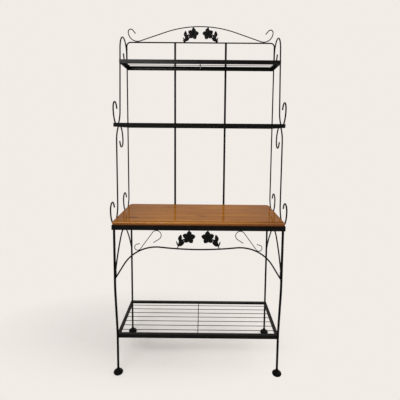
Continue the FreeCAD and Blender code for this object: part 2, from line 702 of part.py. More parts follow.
# ================================================================ the rack
def build():
    """Every piece of the rack by name."""
    pieces = {
        "worktop_board": worktop_board(),
        "apron_arch": apron_arch(),
        "hoop": hoop(),
        "crest_arch": crest_arch(),
    }
    frames = {
        "lower": (LOWER_HALF_WIDTH, LOWER_REAR, LOWER_FRONT, LOWER_SHELF_Z),
        "second": (HALF_WIDTH, 0.0, SECOND_DEPTH, SECOND_SHELF_Z),
        "top": (HALF_WIDTH, 0.0, TOP_DEPTH, TOP_SHELF_Z),
    }
    for name, frame in frames.items():
        pieces.update(mitred_rails(name, *frame))
        pieces[f"{name}_grid"] = shelf_grid(*frame)
    worktop = (HALF_WIDTH, 0.0, WORKTOP_DEPTH, WORKTOP_FRAME_Z)
    pieces.update(mitred_rails("worktop", *worktop, WORKTOP_ANGLE_LEG))
    right_pieces = {
        "front_leg": front_leg(),
        "rear_leg": rear_leg(),
        "front_foot": bun_foot(FRONT_LEG_X, ANKLE_DEPTH, FRONT_LEG_R),
        "rear_foot": bun_foot(REAR_LEG_X, REAR_LEG_DEPTH, REAR_LEG_R),
        "side_arch": side_arch(),
        "apron_scroll": apron_scroll(),
        "apron_sprig": apron_sprig(),
        "back_bar": back_bar(),
        "lower_rod": lower_rod(),
        "upper_rod": upper_rod(),
        "crest_sprig": crest_sprig(),
    }
    for name, shape in right_pieces.items():
        pieces[f"{name}_right"] = shape
        pieces[f"{name}_left"] = mirrored(shape)
    return pieces


os.makedirs("parts", exist_ok=True)
for piece_name, piece in build().items():
    piece.exportStep(f"parts/{piece_name}.step")
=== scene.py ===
import logging
import math
from abc import ABC, abstractmethod
from collections.abc import Callable, Iterable, Sequence
from dataclasses import dataclass, field
from enum import Enum
from typing import Any

import bmesh
import bpy
from mathutils import Matrix, Vector


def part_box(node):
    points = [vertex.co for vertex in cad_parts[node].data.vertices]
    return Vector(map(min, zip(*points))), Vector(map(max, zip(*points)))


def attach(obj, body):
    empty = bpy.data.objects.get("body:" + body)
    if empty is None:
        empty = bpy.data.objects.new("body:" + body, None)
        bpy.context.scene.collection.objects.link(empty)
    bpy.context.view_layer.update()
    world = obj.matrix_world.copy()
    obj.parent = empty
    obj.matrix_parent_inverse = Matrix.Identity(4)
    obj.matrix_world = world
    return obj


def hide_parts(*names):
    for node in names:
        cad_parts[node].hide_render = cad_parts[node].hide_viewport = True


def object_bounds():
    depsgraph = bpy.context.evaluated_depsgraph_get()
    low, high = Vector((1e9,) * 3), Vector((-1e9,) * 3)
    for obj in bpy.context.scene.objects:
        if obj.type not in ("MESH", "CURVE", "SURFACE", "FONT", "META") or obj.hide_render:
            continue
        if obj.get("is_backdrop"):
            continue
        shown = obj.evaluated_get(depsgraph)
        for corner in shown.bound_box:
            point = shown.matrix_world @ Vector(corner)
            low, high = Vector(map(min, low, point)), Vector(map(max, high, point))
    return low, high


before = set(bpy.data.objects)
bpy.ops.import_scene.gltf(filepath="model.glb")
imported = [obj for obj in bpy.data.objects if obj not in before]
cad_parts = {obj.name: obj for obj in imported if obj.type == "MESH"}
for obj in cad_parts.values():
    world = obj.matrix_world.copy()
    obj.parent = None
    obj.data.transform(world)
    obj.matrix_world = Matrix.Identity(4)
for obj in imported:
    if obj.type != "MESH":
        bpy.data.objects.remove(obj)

# Bakers rack in Blender: round rods in place of the flat-sided ones, turned feet, cast flowers
# and leaves, weld beads and screws, and a finish for every piece. Lengths are metres and angles
# are degrees. +X is to the right, +Y to the wall and +Z up, as in the frame.

LOG = logging.getLogger("bakers_rack")
BODY = "root"

# The thickness of the angle iron that the four frames are made of.
ANGLE_IRON = 0.003
# Points nearer than this are one point, and a count this far under a whole number reaches it.
TINY = 1e-6
# Flat faces round each kind of round piece.
ROD_SIDES = 16
LEG_SIDES = 20
WIRE_SIDES = 12
BEAD_SIDES = 8
FOOT_SIDES = 48
SCREW_SIDES = 20

UP = Vector((0.0, 0.0, 1.0)).freeze()
TO_WALL = Vector((0.0, 1.0, 0.0)).freeze()
TO_RIGHT = Vector((1.0, 0.0, 0.0)).freeze()

Box = tuple[Vector, Vector]
Colour = tuple[float, float, float, float]
Line = list[Vector]
Mesh = bmesh.types.BMesh
Piece = bpy.types.Object
Place = Callable[[float, float], Vector]
Socket = bpy.types.NodeSocket
Value = Socket | float | Sequence[float]


class Side(Enum):
    """The two sides of the rack."""

    LEFT = -1
    RIGHT = 1

    @property
    def word(self) -> str:
        """The side's name as node names end in it."""
        return self.name.lower()


class Level(Enum):
    """The four frames of angle iron, from the floor up."""

    LOWER = "lower"
    WORKTOP = "worktop"
    SECOND = "second"
    TOP = "top"


class Edge(Enum):
    """The four rails of a frame."""

    FRONT = "front"
    REAR = "rear"
    LEFT = "left"
    RIGHT = "right"


class Axis(Enum):
    """The two level axes, by their place in a vector."""

    X = 0
    Y = 1


def sin(angle: float) -> float:
    """Sine of an angle in degrees."""
    return math.sin(math.radians(angle))


def cos(angle: float) -> float:
    """Cosine of an angle in degrees."""
    return math.cos(math.radians(angle))


def around(count: int) -> list[float]:
    """Angles evenly spaced round a circle."""
    return [360.0 * index / count for index in range(count)]


# ------------------------------------------------------------------ finishes
class Sum(Enum):
    """What a node works out, by the node's own name for it."""

    ADD = "ADD"
    SUBTRACT = "SUBTRACT"
    MULTIPLY = "MULTIPLY"
    DIVIDE = "DIVIDE"
    POWER = "POWER"
    MINIMUM = "MINIMUM"
    MAXIMUM = "MAXIMUM"
    ABSOLUTE = "ABSOLUTE"
    FLOOR = "FLOOR"
    FRACT = "FRACT"
    LENGTH = "LENGTH"


@dataclass(frozen=True)
class Ramp:
    """Carries a value from one range over to another, and holds it at the ends."""

    low: float
    high: float
    to_low: float = 0.0
    to_high: float = 1.0


class Nodes:
    """Lays out the node tree of a material or of the world."""

    def __init__(self, owner: bpy.types.Material | bpy.types.World, output: str) -> None:
        """Empties the tree and adds its output.

        Args:
            owner: What the tree belongs to.
            output: The type name of its output node.
        """
        owner.use_nodes = True
        self.owner = owner
        self.tree = owner.node_tree
        self.tree.nodes.clear()
        self.output = self.add(output)

    @classmethod
    def of_material(cls, name: str) -> "Nodes":
        """Starts the tree of a new material."""
        return cls(bpy.data.materials.new(name), "ShaderNodeOutputMaterial")

    @classmethod
    def of_world(cls, name: str) -> "Nodes":
        """Starts the tree of a new world."""
        return cls(bpy.data.worlds.new(name), "ShaderNodeOutputWorld")

    def add(self, kind: str, settings: dict[str, Any] | None = None, **inputs: Value) -> bpy.types.Node:
        """Adds a node.

        Args:
            kind: The node's type name.
            settings: Properties to set on it.
            **inputs: Values or sockets for its inputs, by name, with _ for a space.

        Returns:
            The new node.
        """
        node = self.tree.nodes.new(kind)
        for key, value in (settings or {}).items():
            setattr(node, key, value)
        for key, value in inputs.items():
            self.feed(node.inputs[key.replace("_", " ")], value)
        return node

    def feed(self, socket: Socket, value: Value) -> None:
        """Links a socket into an input, or writes a plain value there.

        Args:
            socket: The input.
            value: Another node's socket, or a number, a colour or a vector.
        """
        if isinstance(value, Socket):
            self.tree.links.new(value, socket)
        else:
            socket.default_value = value

    def place(self) -> Socket:
        """A place on the piece, in the rack's own lengths."""
        return self.add("ShaderNodeTexCoord").outputs["Object"]

    def upward(self) -> Socket:
        """How far a face looks up, from -1 to 1."""
        facing = self.add("ShaderNodeNewGeometry").outputs["Normal"]
        return self.add("ShaderNodeSeparateXYZ", Vector=facing).outputs["Z"]

    def seen(self) -> Socket:
        """1 where the camera sees a thing directly, mirrored or through glass, and 0 for its light.

        Returns:
            The socket of that number.
        """
        path = self.add("ShaderNodeLightPath").outputs
        total = self.math(Sum.ADD, path["Is Camera Ray"], path["Is Glossy Ray"])
        total = self.math(Sum.ADD, total, path["Is Transmission Ray"])
        return self.math(Sum.MINIMUM, total, 1.0)

    def math(self, operation: Sum, first: Value, second: Value = 0.0) -> Socket:
        """The result of a sum on numbers.

        Args:
            operation: The sum.
            first: A number or a socket.
            second: Another one, where the sum takes two.

        Returns:
            The socket of the result.
        """
        node = self.add("ShaderNodeMath", {"operation": operation.value})
        self.feed(node.inputs[0], first)
        self.feed(node.inputs[1], second)
        return node.outputs[0]

    def vector(self, operation: Sum, first: Value, second: Value) -> Socket:
        """The result of a sum on two vectors.

        Args:
            operation: The sum.
            first: A vector or a socket.
            second: Another one.

        Returns:
            The socket of the result.
        """
        node = self.add("ShaderNodeVectorMath", {"operation": operation.value})
        self.feed(node.inputs[0], first)
        self.feed(node.inputs[1], second)
        return node.outputs["Vector"]

    def length(self, vector: Socket) -> Socket:
        """The length of a vector."""
        node = self.add("ShaderNodeVectorMath", {"operation": Sum.LENGTH.value}, Vector=vector)
        return node.outputs["Value"]

    def stretched(self, coordinates: Socket, scale: Sequence[float]) -> Socket:
        """Coordinates multiplied along each axis."""
        node = self.add("ShaderNodeMapping", Vector=coordinates, Scale=scale)
        return node.outputs["Vector"]

    def noise(self, coordinates: Socket, scale: float, detail: float = 2.0, rough: float = 0.5) -> Socket:
        """A cloudy value from 0 to 1.

        Args:
            coordinates: The place.
            scale: How fine the clouds are.
            detail: How many finer layers there are on them.
            rough: How strong the finer layers are.

        Returns:
            The socket of the value.
        """
        settings = {"Scale": scale, "Detail": detail, "Roughness": rough}
        return self.add("ShaderNodeTexNoise", Vector=coordinates, **settings).outputs["Fac"]

    def spread(self, value: Socket, ramp: Ramp) -> Socket:
        """A value carried over to another range.

        Args:
            value: The value.
            ramp: Its range and the range that it is carried to.

        Returns:
            The socket of the new value.
        """
        ends = {"From_Min": ramp.low, "From_Max": ramp.high, "To_Min": ramp.to_low, "To_Max": ramp.to_high}
        return self.add("ShaderNodeMapRange", Value=value, **ends).outputs["Result"]

    def mixed(self, factor: Value, first: Value, second: Value) -> Socket:
        """Two colours mixed.

        Args:
            factor: 0 for the first colour, 1 for the second, or between.
            first: A colour or a socket.
            second: Another one.

        Returns:
            The socket of the mixed colour.
        """
        node = self.add("ShaderNodeMix", {"data_type": "RGBA"})
        # The node has a set of sockets for each data type, and these are the ones for colours.
        for index, value in ((0, factor), (6, first), (7, second)):
            self.feed(node.inputs[index], value)
        return node.outputs[2]

    def blended(self, factor: Socket, first: bpy.types.Node, second: bpy.types.Node) -> bpy.types.Node:
        """Two shaders blended.

        Args:
            factor: 0 for the first shader, 1 for the second, or between.
            first: A shader.
            second: Another one.

        Returns:
            The blended shader.
        """
        node = self.add("ShaderNodeMixShader")
        for socket, value in zip(node.inputs, (factor, first.outputs[0], second.outputs[0])):
            self.feed(socket, value)
        return node

    def bump(self, height: Socket, strength: float, distance: float) -> Socket:
        """A surface normal raised by a height."""
        node = self.add("ShaderNodeBump", Height=height, Strength=strength, Distance=distance)
        return node.outputs["Normal"]

    def finish(self, shader: bpy.types.Node) -> bpy.types.ID:
        """Links the shader to the output and returns the material or the world."""
        self.tree.links.new(shader.outputs[0], self.output.inputs["Surface"])
        return self.owner


def dulling(gloss: float, matt: float) -> Ramp:
    """Carries the usual range of a cloudy value over to a roughness."""
    return Ramp(0.3, 0.7, gloss, matt)


def srgb(red: int, green: int, blue: int) -> Colour:
    """A colour written as on a screen, made linear.

    Args:
        red: Red, from 0 to 255.
        green: Green.
        blue: Blue.

    Returns:
        The linear colour, opaque.
    """
    channels = []
    for value in (red, green, blue):
        part = value / 255
        channels.append(part / 12.92 if part <= 0.04045 else ((part + 0.055) / 1.055) ** 2.4)
    return (*channels, 1.0)


@dataclass(frozen=True)
class IronFinish:
    """Black stove paint on iron: satin, faintly pebbled, a little dusty on what faces up.

    patch, stroke and pebble say how fine its worn patches, its brush strokes and its pebbles are.
    relief is the height of the pebbles and depth how strongly they show. gloss and matt are the
    roughness at the smoothest and the dullest spots, and sheen is how much light it throws back.
    """

    name: str
    paint: Colour = srgb(7, 7, 6)
    worn: Colour = srgb(18, 17, 15)
    dust: Colour = srgb(40, 38, 36)
    patch: float = 14.0
    stroke: float = 120.0
    pebble: float = 900.0
    relief: float = 0.00012
    depth: float = 0.5
    stroke_share: float = 0.6
    gloss: float = 0.24
    matt: float = 0.36
    sheen: float = 0.07
    wear: Ramp = Ramp(0.45, 0.75, 0.0, 0.7)
    settling: Ramp = Ramp(0.7, 1.0, 0.0, 0.3)

    def material(self) -> bpy.types.Material:
        """Builds the paint.

        Returns:
            The material.
        """
        nodes = Nodes.of_material(self.name)
        place = nodes.place()
        patches = nodes.noise(place, self.patch, detail=4.0)
        pebbles = nodes.noise(place, self.pebble)
        strokes = nodes.noise(place, self.stroke, detail=3.0, rough=0.6)
        colour = nodes.mixed(nodes.spread(patches, self.wear), self.paint, self.worn)
        settled = nodes.math(Sum.MULTIPLY, nodes.spread(nodes.upward(), self.settling), patches)
        colour = nodes.mixed(settled, colour, self.dust)
        relief = nodes.math(Sum.ADD, nodes.math(Sum.MULTIPLY, strokes, self.stroke_share), pebbles)
        shader = nodes.add(
            "ShaderNodeBsdfPrincipled",
            Base_Color=colour,
            Roughness=nodes.spread(strokes, dulling(self.gloss, self.matt)),
            Normal=nodes.bump(relief, self.depth, self.relief),
        )
        shader.inputs["Specular IOR Level"].default_value = self.sheen
        return nodes.finish(shader)


@dataclass(frozen=True)
class Grain:
    """One layer of the wood's grain: a cloudy value drawn out along the boards."""

    along: float
    across: float
    scale: float
    detail: float = 2.0
    rough: float = 0.5

    def value(self, nodes: Nodes, place: Socket) -> Socket:
        """The layer's value at a place, from 0 to 1."""
        drawn_out = nodes.stretched(place, (self.along, self.across, self.across))
        return nodes.noise(drawn_out, self.scale, self.detail, self.rough)


@dataclass(frozen=True)
class Mark:
    """A dark mineral mark in the wood: its place, half its length, its lean and its strength."""

    x: float
    y: float
    half_length: float
    angle: float
    strength: float


@dataclass(frozen=True)
class WoodFinish:
    """Varnished boards glued edge to edge, with the grain from side to side.

    top is the height of the upper face. plank is the width of a board, and shift the most that its
    grain is moved along it and in depth. The painted shade in the step of the rounded edge lies between
    ledge and ledge_top under the upper face. A ramp's name says which tone it brings in. The board's
    darker ends, the darker lower and right-hand nose and the pale band on its shoulder are painted
    shade and a painted highlight.
    """

    name: str
    top: float
    pale: Colour = srgb(168, 111, 42)
    deep: Colour = srgb(134, 77, 22)
    # This dark colour is the grain's bands, pores, knots and seams, and also the painted shade in the step.
    line: Colour = srgb(72, 36, 12)
    # The next colour is painted shade, laid on the board's ends and on its nose.
    nose_shade: Colour = srgb(104, 60, 28)
    # A painted highlight on the shoulder of the rounded edge.
    rim: Colour = srgb(206, 152, 92)
    mark: Colour = srgb(44, 20, 8)
    plank: float = 0.089
    shift: tuple[float, float] = (7.0, 3.0)
    figure: Grain = Grain(1.3, 13.0, 1.6, 3.0, 0.55)
    fibres: Grain = Grain(3.0, 120.0, 9.0, 4.0, 0.65)
    pores: Grain = Grain(14.0, 420.0, 2.4)
    figure_share: float = 0.65
    tones: Ramp = Ramp(0.35, 0.65)
    ring_stretch: tuple[float, float, float] = (0.35, 1.0, 1.0)
    ring_sharpness: float = 3.0
    ring_tone: float = 0.34
    pore_tone: Ramp = Ramp(0.6, 0.78, 0.0, 0.5)
    knot_stretch: tuple[float, float, float] = (2.1, 16.0, 16.0)
    knot_tone: Ramp = Ramp(0.06, 0.15, 0.75, 0.0)
    # Painted shade that darkens both ends of the board, in place of the dark reflections of the hooks.
    end_shade: Ramp = Ramp(0.22, 0.44, 0.0, 0.5)
    board_tone: Ramp = Ramp(0.0, 1.0, 0.0, 0.22)
    seam_tone: Ramp = Ramp(0.493, 0.499, 0.0, 0.4)
    round_over: Ramp = Ramp(0.95, 0.6)
    # Painted highlight on the rounded edge's shoulder.
    highlight_ramp: Ramp = Ramp(0.1, 0.35, 0.0, 0.22)
    # Painted shade, deeper towards the right end of the nose.
    right_shade_ramp: Ramp = Ramp(-0.15, 0.4, 0.0, 0.5)
    # Painted shade on the faces of the edge that look sideways and down.
    under_shade: Ramp = Ramp(0.05, 0.35, 0.75, 0.0)
    ledge: float = 0.0022
    ledge_top: tuple[float, float] = (0.0005, 0.0002)
    # Strength of the painted shade in the step.
    step_shade: float = 0.6
    depth: float = 0.12
    relief: float = 0.00025
    gloss: float = 0.24
    matt: float = 0.36
    varnish: float = 0.22
    polish: float = 0.035
    mark_half_width: float = 0.012
    mark_fade: tuple[float, float] = (0.45, 1.0)
    marks: tuple[Mark, ...] = (
        Mark(-0.360, -0.138, 0.042, 2.0, 1.0),
        Mark(0.014, -0.101, 0.042, -38.0, 0.4),
        Mark(0.267, 0.010, 0.045, -3.0, 0.2),
    )

    def material(self) -> bpy.types.Material:
        """Builds the wood.

        Returns:
            The material.
        """
        nodes = Nodes.of_material(self.name)
        place = nodes.place()
        axes = nodes.add("ShaderNodeSeparateXYZ", Vector=place).outputs
        across = nodes.math(Sum.DIVIDE, axes["Y"], self.plank)
        number = nodes.math(Sum.FLOOR, across)
        chance = nodes.add("ShaderNodeTexWhiteNoise", {"noise_dimensions": "1D"}, W=number).outputs["Value"]
        along, deeper = (nodes.math(Sum.MULTIPLY, chance, most) for most in self.shift)
        shift = nodes.add("ShaderNodeCombineXYZ", X=along, Z=deeper).outputs["Vector"]
        own = nodes.vector(Sum.ADD, place, shift)
        fibres = self.fibres.value(nodes, own)
        pores = self.pores.value(nodes, own)
        colour = self.grained(nodes, own, fibres, pores)
        colour = nodes.mixed(self.marked(nodes, place), colour, self.mark)
        # Painted shade: both ends of the board darken, in place of the dark reflections of the hooks.
        outward = nodes.math(Sum.ABSOLUTE, axes["X"])
        colour = nodes.mixed(nodes.spread(outward, self.end_shade), colour, self.nose_shade)
        colour = self.edged(nodes, colour, axes["X"], axes["Z"])
        colour = nodes.mixed(nodes.spread(chance, self.board_tone), colour, self.deep)
        from_middle = nodes.math(Sum.SUBTRACT, nodes.math(Sum.FRACT, across), 0.5)
        seam = nodes.spread(nodes.math(Sum.ABSOLUTE, from_middle), self.seam_tone)
        grain = nodes.math(Sum.SUBTRACT, nodes.math(Sum.ADD, fibres, pores), seam)
        shader = nodes.add(
            "ShaderNodeBsdfPrincipled",
            Base_Color=nodes.mixed(seam, colour, self.line),
            Roughness=nodes.spread(fibres, dulling(self.gloss, self.matt)),
            Normal=nodes.bump(grain, self.depth, self.relief),
        )
        shader.inputs["Specular IOR Level"].default_value = 0.0
        shader.inputs["Coat Weight"].default_value = self.varnish
        shader.inputs["Coat Roughness"].default_value = self.polish
        return nodes.finish(shader)

    def grained(self, nodes: Nodes, place: Socket, fibres: Socket, pores: Socket) -> Socket:
        """The colour of the bare grain.

        Args:
            nodes: The finish that is being built.
            place: A place, moved along by its board's own shift.
            fibres: The fine fibres' value there.
            pores: The pores' value there.

        Returns:
            The socket of the colour.
        """
        rings = nodes.add(
            "ShaderNodeTexWave",
            {"wave_type": "BANDS", "bands_direction": "Y", "wave_profile": "SAW"},
            Vector=nodes.stretched(place, self.ring_stretch),
            Scale=34.0,
            Distortion=9.0,
            Detail=3.0,
            Detail_Scale=0.7,
        ).outputs["Fac"]
        knots = nodes.add(
            "ShaderNodeTexVoronoi", Vector=nodes.stretched(place, self.knot_stretch), Scale=1.6
        ).outputs["Distance"]
        figure = nodes.math(Sum.MULTIPLY, self.figure.value(nodes, place), self.figure_share)
        tone = nodes.math(Sum.ADD, figure, nodes.math(Sum.MULTIPLY, fibres, 1 - self.figure_share))
        bands = nodes.math(Sum.MULTIPLY, nodes.math(Sum.POWER, rings, self.ring_sharpness), self.ring_tone)
        colour = nodes.mixed(nodes.spread(tone, self.tones), self.pale, self.deep)
        colour = nodes.mixed(bands, colour, self.line)
        colour = nodes.mixed(nodes.spread(pores, self.pore_tone), colour, self.line)
        return nodes.mixed(nodes.spread(knots, self.knot_tone), colour, self.line)

    def marked(self, nodes: Nodes, place: Socket) -> Value:
        """How dark the mineral marks are at a place.

        Args:
            nodes: The finish that is being built.
            place: A place on the board.

        Returns:
            The strength there of the nearest mark, from 0 to 1.
        """
        found: Value = 0.0
        for mark in self.marks:
            within = nodes.add(
                "ShaderNodeMapping",
                {"vector_type": "TEXTURE"},
                Vector=place,
                Location=(mark.x, mark.y, 0.0),
                Rotation=(0.0, 0.0, math.radians(mark.angle)),
                # A mark goes through the whole thickness of the board.
                Scale=(mark.half_length, self.mark_half_width, 100.0),
            ).outputs["Vector"]
            dark = nodes.spread(nodes.length(within), Ramp(*self.mark_fade, mark.strength, 0.0))
            found = nodes.math(Sum.MAXIMUM, dark, found)
        return found

    def edged(self, nodes: Nodes, colour: Socket, sideways: Socket, height: Socket) -> Socket:
        """Paints light and shade on the rounded edge: painted shade in its step, below and towards its right
        end, and a painted highlight on its shoulder.

        Args:
            nodes: The finish that is being built.
            colour: The colour of the boards.
            sideways: How far to the right a place is.
            height: How high it is.

        Returns:
            The colour with the edge's tones in it.
        """
        upward = nodes.upward()
        dark_below, plain_above = (self.top - drop for drop in self.ledge_top)
        # Painted shade in the step of the rounded edge.
        below = nodes.spread(height, Ramp(self.top - self.ledge, self.top - self.ledge / 2))
        above = nodes.spread(height, Ramp(dark_below, plain_above, 1.0, 0.0))
        step = nodes.math(Sum.MULTIPLY, nodes.math(Sum.MULTIPLY, below, above), self.step_shade)
        rounded = nodes.spread(upward, self.round_over)
        # A painted highlight on the rounded shoulder.
        highlight = nodes.math(Sum.MULTIPLY, rounded, nodes.spread(upward, self.highlight_ramp))
        # Painted shade towards the right end of the nose.
        right_shade = nodes.math(Sum.MULTIPLY, rounded, nodes.spread(sideways, self.right_shade_ramp))
        colour = nodes.mixed(highlight, colour, self.rim)
        colour = nodes.mixed(right_shade, colour, self.nose_shade)
        # Painted shade on what faces sideways and down.
        colour = nodes.mixed(nodes.spread(upward, self.under_shade), colour, self.nose_shade)
        return nodes.mixed(step, colour, self.line)


@dataclass(frozen=True)
class FloorFinish:
    """A matt pale floor that turns into the backdrop's colour further out.

    reach holds the half axes of the ellipse round centre over which it fades.
    """

    name: str
    backdrop: Colour = srgb(242, 236, 231)
    surface: Colour = srgb(236, 231, 227)
    centre: tuple[float, float, float] = (-0.35, 0.25, 0.0)
    reach: tuple[float, float, float] = (1.15, 0.58, 1.0)
    fade: Ramp = Ramp(0.4, 1.0)
    cloud: float = 3.0
    cloud_tone: float = 0.05

    def material(self) -> bpy.types.Material:
        """Builds the floor.

        Returns:
            The material.
        """
        nodes = Nodes.of_material(self.name)
        place = nodes.place()
        away = nodes.vector(Sum.SUBTRACT, place, self.centre)
        far = nodes.length(nodes.vector(Sum.DIVIDE, away, self.reach))
        mottled = nodes.math(Sum.MULTIPLY, nodes.noise(place, self.cloud, detail=3.0), self.cloud_tone)
        matt = nodes.add("ShaderNodeBsdfDiffuse", Color=nodes.mixed(mottled, self.surface, self.backdrop))
        plain = nodes.add("ShaderNodeEmission", Color=self.backdrop, Strength=1.0)
        shown = nodes.math(Sum.MULTIPLY, nodes.seen(), nodes.spread(far, self.fade))
        return nodes.finish(nodes.blended(shown, matt, plain))


# ------------------------------------------------------------------ places in the frame
def rail_node(level: Level, edge: Edge) -> str:
    """The name of one rail of a frame."""
    return f"{level.value}_rail_{edge.value}"


def rail_box(level: Level, edge: Edge) -> Box:
    """The lowest and the highest corner of one rail of a frame."""
    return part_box(rail_node(level, edge))


def half_thickness(node: str, axis: Axis) -> float:
    """Half of what a node measures along an axis."""
    low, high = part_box(node)
    return (high[axis.value] - low[axis.value]) / 2


def side_plane(x: float, wall: float) -> Place:
    """Maps a distance from the wall and a height to a point beside the rack."""
    return lambda depth, height: Vector((x, wall - depth, height))


def front_plane(y: float) -> Place:
    """Maps a sideways distance and a height to a point across the rack."""
    return lambda x, height: Vector((x, y, height))


# ------------------------------------------------------------------ pieces and rods
class SubAssembly(ABC):
    """A part of the rack that builds its own pieces and dresses them."""

    @abstractmethod
    def build(self) -> list[Piece]:
        """Builds and dresses the pieces and returns them."""


def dress(node: Piece, material: bpy.types.Material) -> None:
    """Gives a node one finish all over."""
    node.data.materials.clear()
    node.data.materials.append(material)


def add_piece(name: str, mesh: Mesh, material: bpy.types.Material, stands_for: Sequence[str] = ()) -> Piece:
    """Makes an iron piece of a mesh, lets it ride the rack and dresses it.

    Args:
        name: The piece's name.
        mesh: Its mesh, which is freed.
        material: Its finish.
        stands_for: The nodes that it takes the place of.

    Returns:
        The new piece.
    """
    bmesh.ops.recalc_face_normals(mesh, faces=mesh.faces)
    data = bpy.data.meshes.new(name)
    mesh.to_mesh(data)
    mesh.free()
    piece = bpy.data.objects.new(name, data)
    dress(piece, material)
    bpy.context.scene.collection.objects.link(piece)
    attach(piece, BODY)
    if stands_for:
        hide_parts(*stands_for)
    return piece


def add_skin(mesh: Mesh, loops: Sequence[list[bmesh.types.BMVert]]) -> None:
    """Joins rings of points into a closed skin with a flat cap at each end.

    Args:
        mesh: The mesh that the points are in.
        loops: The rings from end to end, all of as many points.
    """
    for near, far in zip(loops, loops[1:]):
        for corner in range(len(near)):
            quad = (near[corner - 1], near[corner], far[corner], far[corner - 1])
            mesh.faces.new(quad).smooth = True
    mesh.faces.new(loops[0])
    mesh.faces.new(loops[-1][::-1])


def add_turned(mesh: Mesh, base: Vector, profile: Sequence[tuple[float, float]], sides: int) -> None:
    """Adds a turned piece to a mesh.

    Args:
        mesh: The mesh to add to.
        base: The point on its axis from which heights are measured.
        profile: Radius and height of each ring, from end to end.
        sides: Faces round each ring.
    """
    loops = []
    for radius, height in profile:
        spokes = (Vector((radius * cos(angle), radius * sin(angle), height)) for angle in around(sides))
        loops.append([mesh.verts.new(base + spoke) for spoke in spokes])
    add_skin(mesh, loops)


@dataclass
class Tube:
    """A round rod along a line of points.

    A domed rod has rounded ends. ripple is the share by which its rings swell and shrink in turn,
    as on a weld bead.
    """

    points: Line
    radius: float
    sides: int = ROD_SIDES
    domed: bool = True
    ripple: float = 0.0
    dome_angles: tuple[float, ...] = (12.0, 35.0, 62.0, 90.0)
    dome_reach: float = 0.9

    def stations(self) -> list[tuple[Vector, float]]:
        """Works out the rings that the rod is made of.

        Returns:
            The centre and radius of each ring, from end to end.
        """
        line = [self.points[0]]
        for point in self.points[1:]:
            if (point - line[-1]).length > TINY:
                line.append(point)
        rings = []
        for index, point in enumerate(line):
            rings.append((point, self.radius * (1 + self.ripple * (-1) ** index)))
        if not self.domed:
            return rings
        heads = [self.dome(line[0], line[1]), self.dome(line[-1], line[-2])]
        return heads[0] + rings[1:-1] + heads[1][::-1]

    def dome(self, tip: Vector, inward: Vector) -> list[tuple[Vector, float]]:
        """Works out the rings of a rounded end.

        Args:
            tip: The end of the rod's line.
            inward: The line's next point.

        Returns:
            The centre and radius of each ring, from the tip inwards.
        """
        run = inward - tip
        along = run.normalized() * min(self.radius, run.length * self.dome_reach)
        return [(tip + along * (1 - cos(angle)), self.radius * sin(angle)) for angle in self.dome_angles]

    def add_to(self, mesh: Mesh) -> None:
        """Adds the rod to a mesh, without a twist from ring to ring.

        Args:
            mesh: The mesh to add to.
        """
        rings = self.stations()
        centres = [centre for centre, _ in rings]
        runs = [(end - start).normalized() for start, end in zip(centres, centres[1:])]
        spoke = runs[0].orthogonal().normalized()
        loops = []
        for index, (centre, radius) in enumerate(rings):
            before = runs[max(index - 1, 0)]
            after = runs[min(index, len(runs) - 1)]
            along = (before + after).normalized()
            spoke = (spoke - along * spoke.dot(along)).normalized()
            other = along.cross(spoke)
            offsets = (spoke * cos(angle) + other * sin(angle) for angle in around(self.sides))
            loops.append([mesh.verts.new(centre + offset * radius) for offset in offsets])
        add_skin(mesh, loops)


def tubes_mesh(tubes: Iterable[Tube]) -> Mesh:
    """Makes one mesh of several rods.

    Args:
        tubes: The rods.

    Returns:
        The new mesh.
    """
    mesh = bmesh.new()
    for tube in tubes:
        tube.add_to(mesh)
    return mesh


@dataclass
class Pen:
    """Draws a bent rod's centre line in a plane.

    place maps the plane's two coordinates to a point, and heading is measured from the plane's
    first axis towards its second. A bend's points are no more than step degrees and no more than
    spacing apart.
    """

    place: Place
    first: float
    second: float
    heading: float
    step: float = 5.0
    spacing: float = 0.008
    points: Line = field(default_factory=list)

    def __post_init__(self) -> None:
        """Puts the pen down."""
        self.points.append(self.place(self.first, self.second))

    def line(self, length: float) -> "Pen":
        """Draws a straight run.

        Args:
            length: The length of the run.

        Returns:
            The pen.
        """
        self.first += length * cos(self.heading)
        self.second += length * sin(self.heading)
        self.points.append(self.place(self.first, self.second))
        return self

    def bend(self, radius: float, turn: float) -> "Pen":
        """Draws a round bend.

        Args:
            radius: The bend's radius.
            turn: How far the heading turns, positive to the left.

        Returns:
            The pen.
        """
        along = radius * math.radians(abs(turn))
        count = max(2, math.ceil(abs(turn) / self.step), math.ceil(along / self.spacing))
        chord = 2 * radius * sin(abs(turn) / count / 2)
        for _ in range(count):
            self.heading += turn / count / 2
            self.line(chord)
            self.heading += turn / count / 2
        return self


def both_ways(place: Place, height: float, draw: Callable[[Pen, int], None]) -> Line:
    """A symmetrical rod's line, drawn from its middle to both sides.

    Args:
        place: The plane that it lies in.
        height: Its height at the middle.
        draw: Draws one half with a pen, given 1 for the right half and -1 for the left.

    Returns:
        The line from left to right.
    """
    right = Pen(place, 0.0, height, 0.0)
    draw(right, 1)
    left = Pen(place, 0.0, height, 180.0)
    draw(left, -1)
    return left.points[:0:-1] + right.points


# ------------------------------------------------------------------ angle iron and flat bars
@dataclass
class Frames(SubAssembly):
    """The mitred angle-iron frames and the flat bars, which keep their own solids."""

    finish: bpy.types.Material
    join: float = 0.00001
    rounding: float = 0.0006
    crease: float = 40.0

    def build(self) -> list[Piece]:
        """Rounds the edges of every rail and bar and paints them.

        Returns:
            The rails and bars.
        """
        names = [rail_node(level, edge) for level in Level for edge in Edge]
        names += [f"back_bar_{side.word}" for side in Side]
        nodes = [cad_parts[name] for name in names]
        for node in nodes:
            dress(node, self.finish)
            weld = node.modifiers.new("join", "WELD")
            weld.merge_threshold = self.join
            bevel = node.modifiers.new("edges", "BEVEL")
            bevel.width = self.rounding
            bevel.segments = 2
            bevel.limit_method = "ANGLE"
            bevel.angle_limit = math.radians(self.crease)
        return nodes


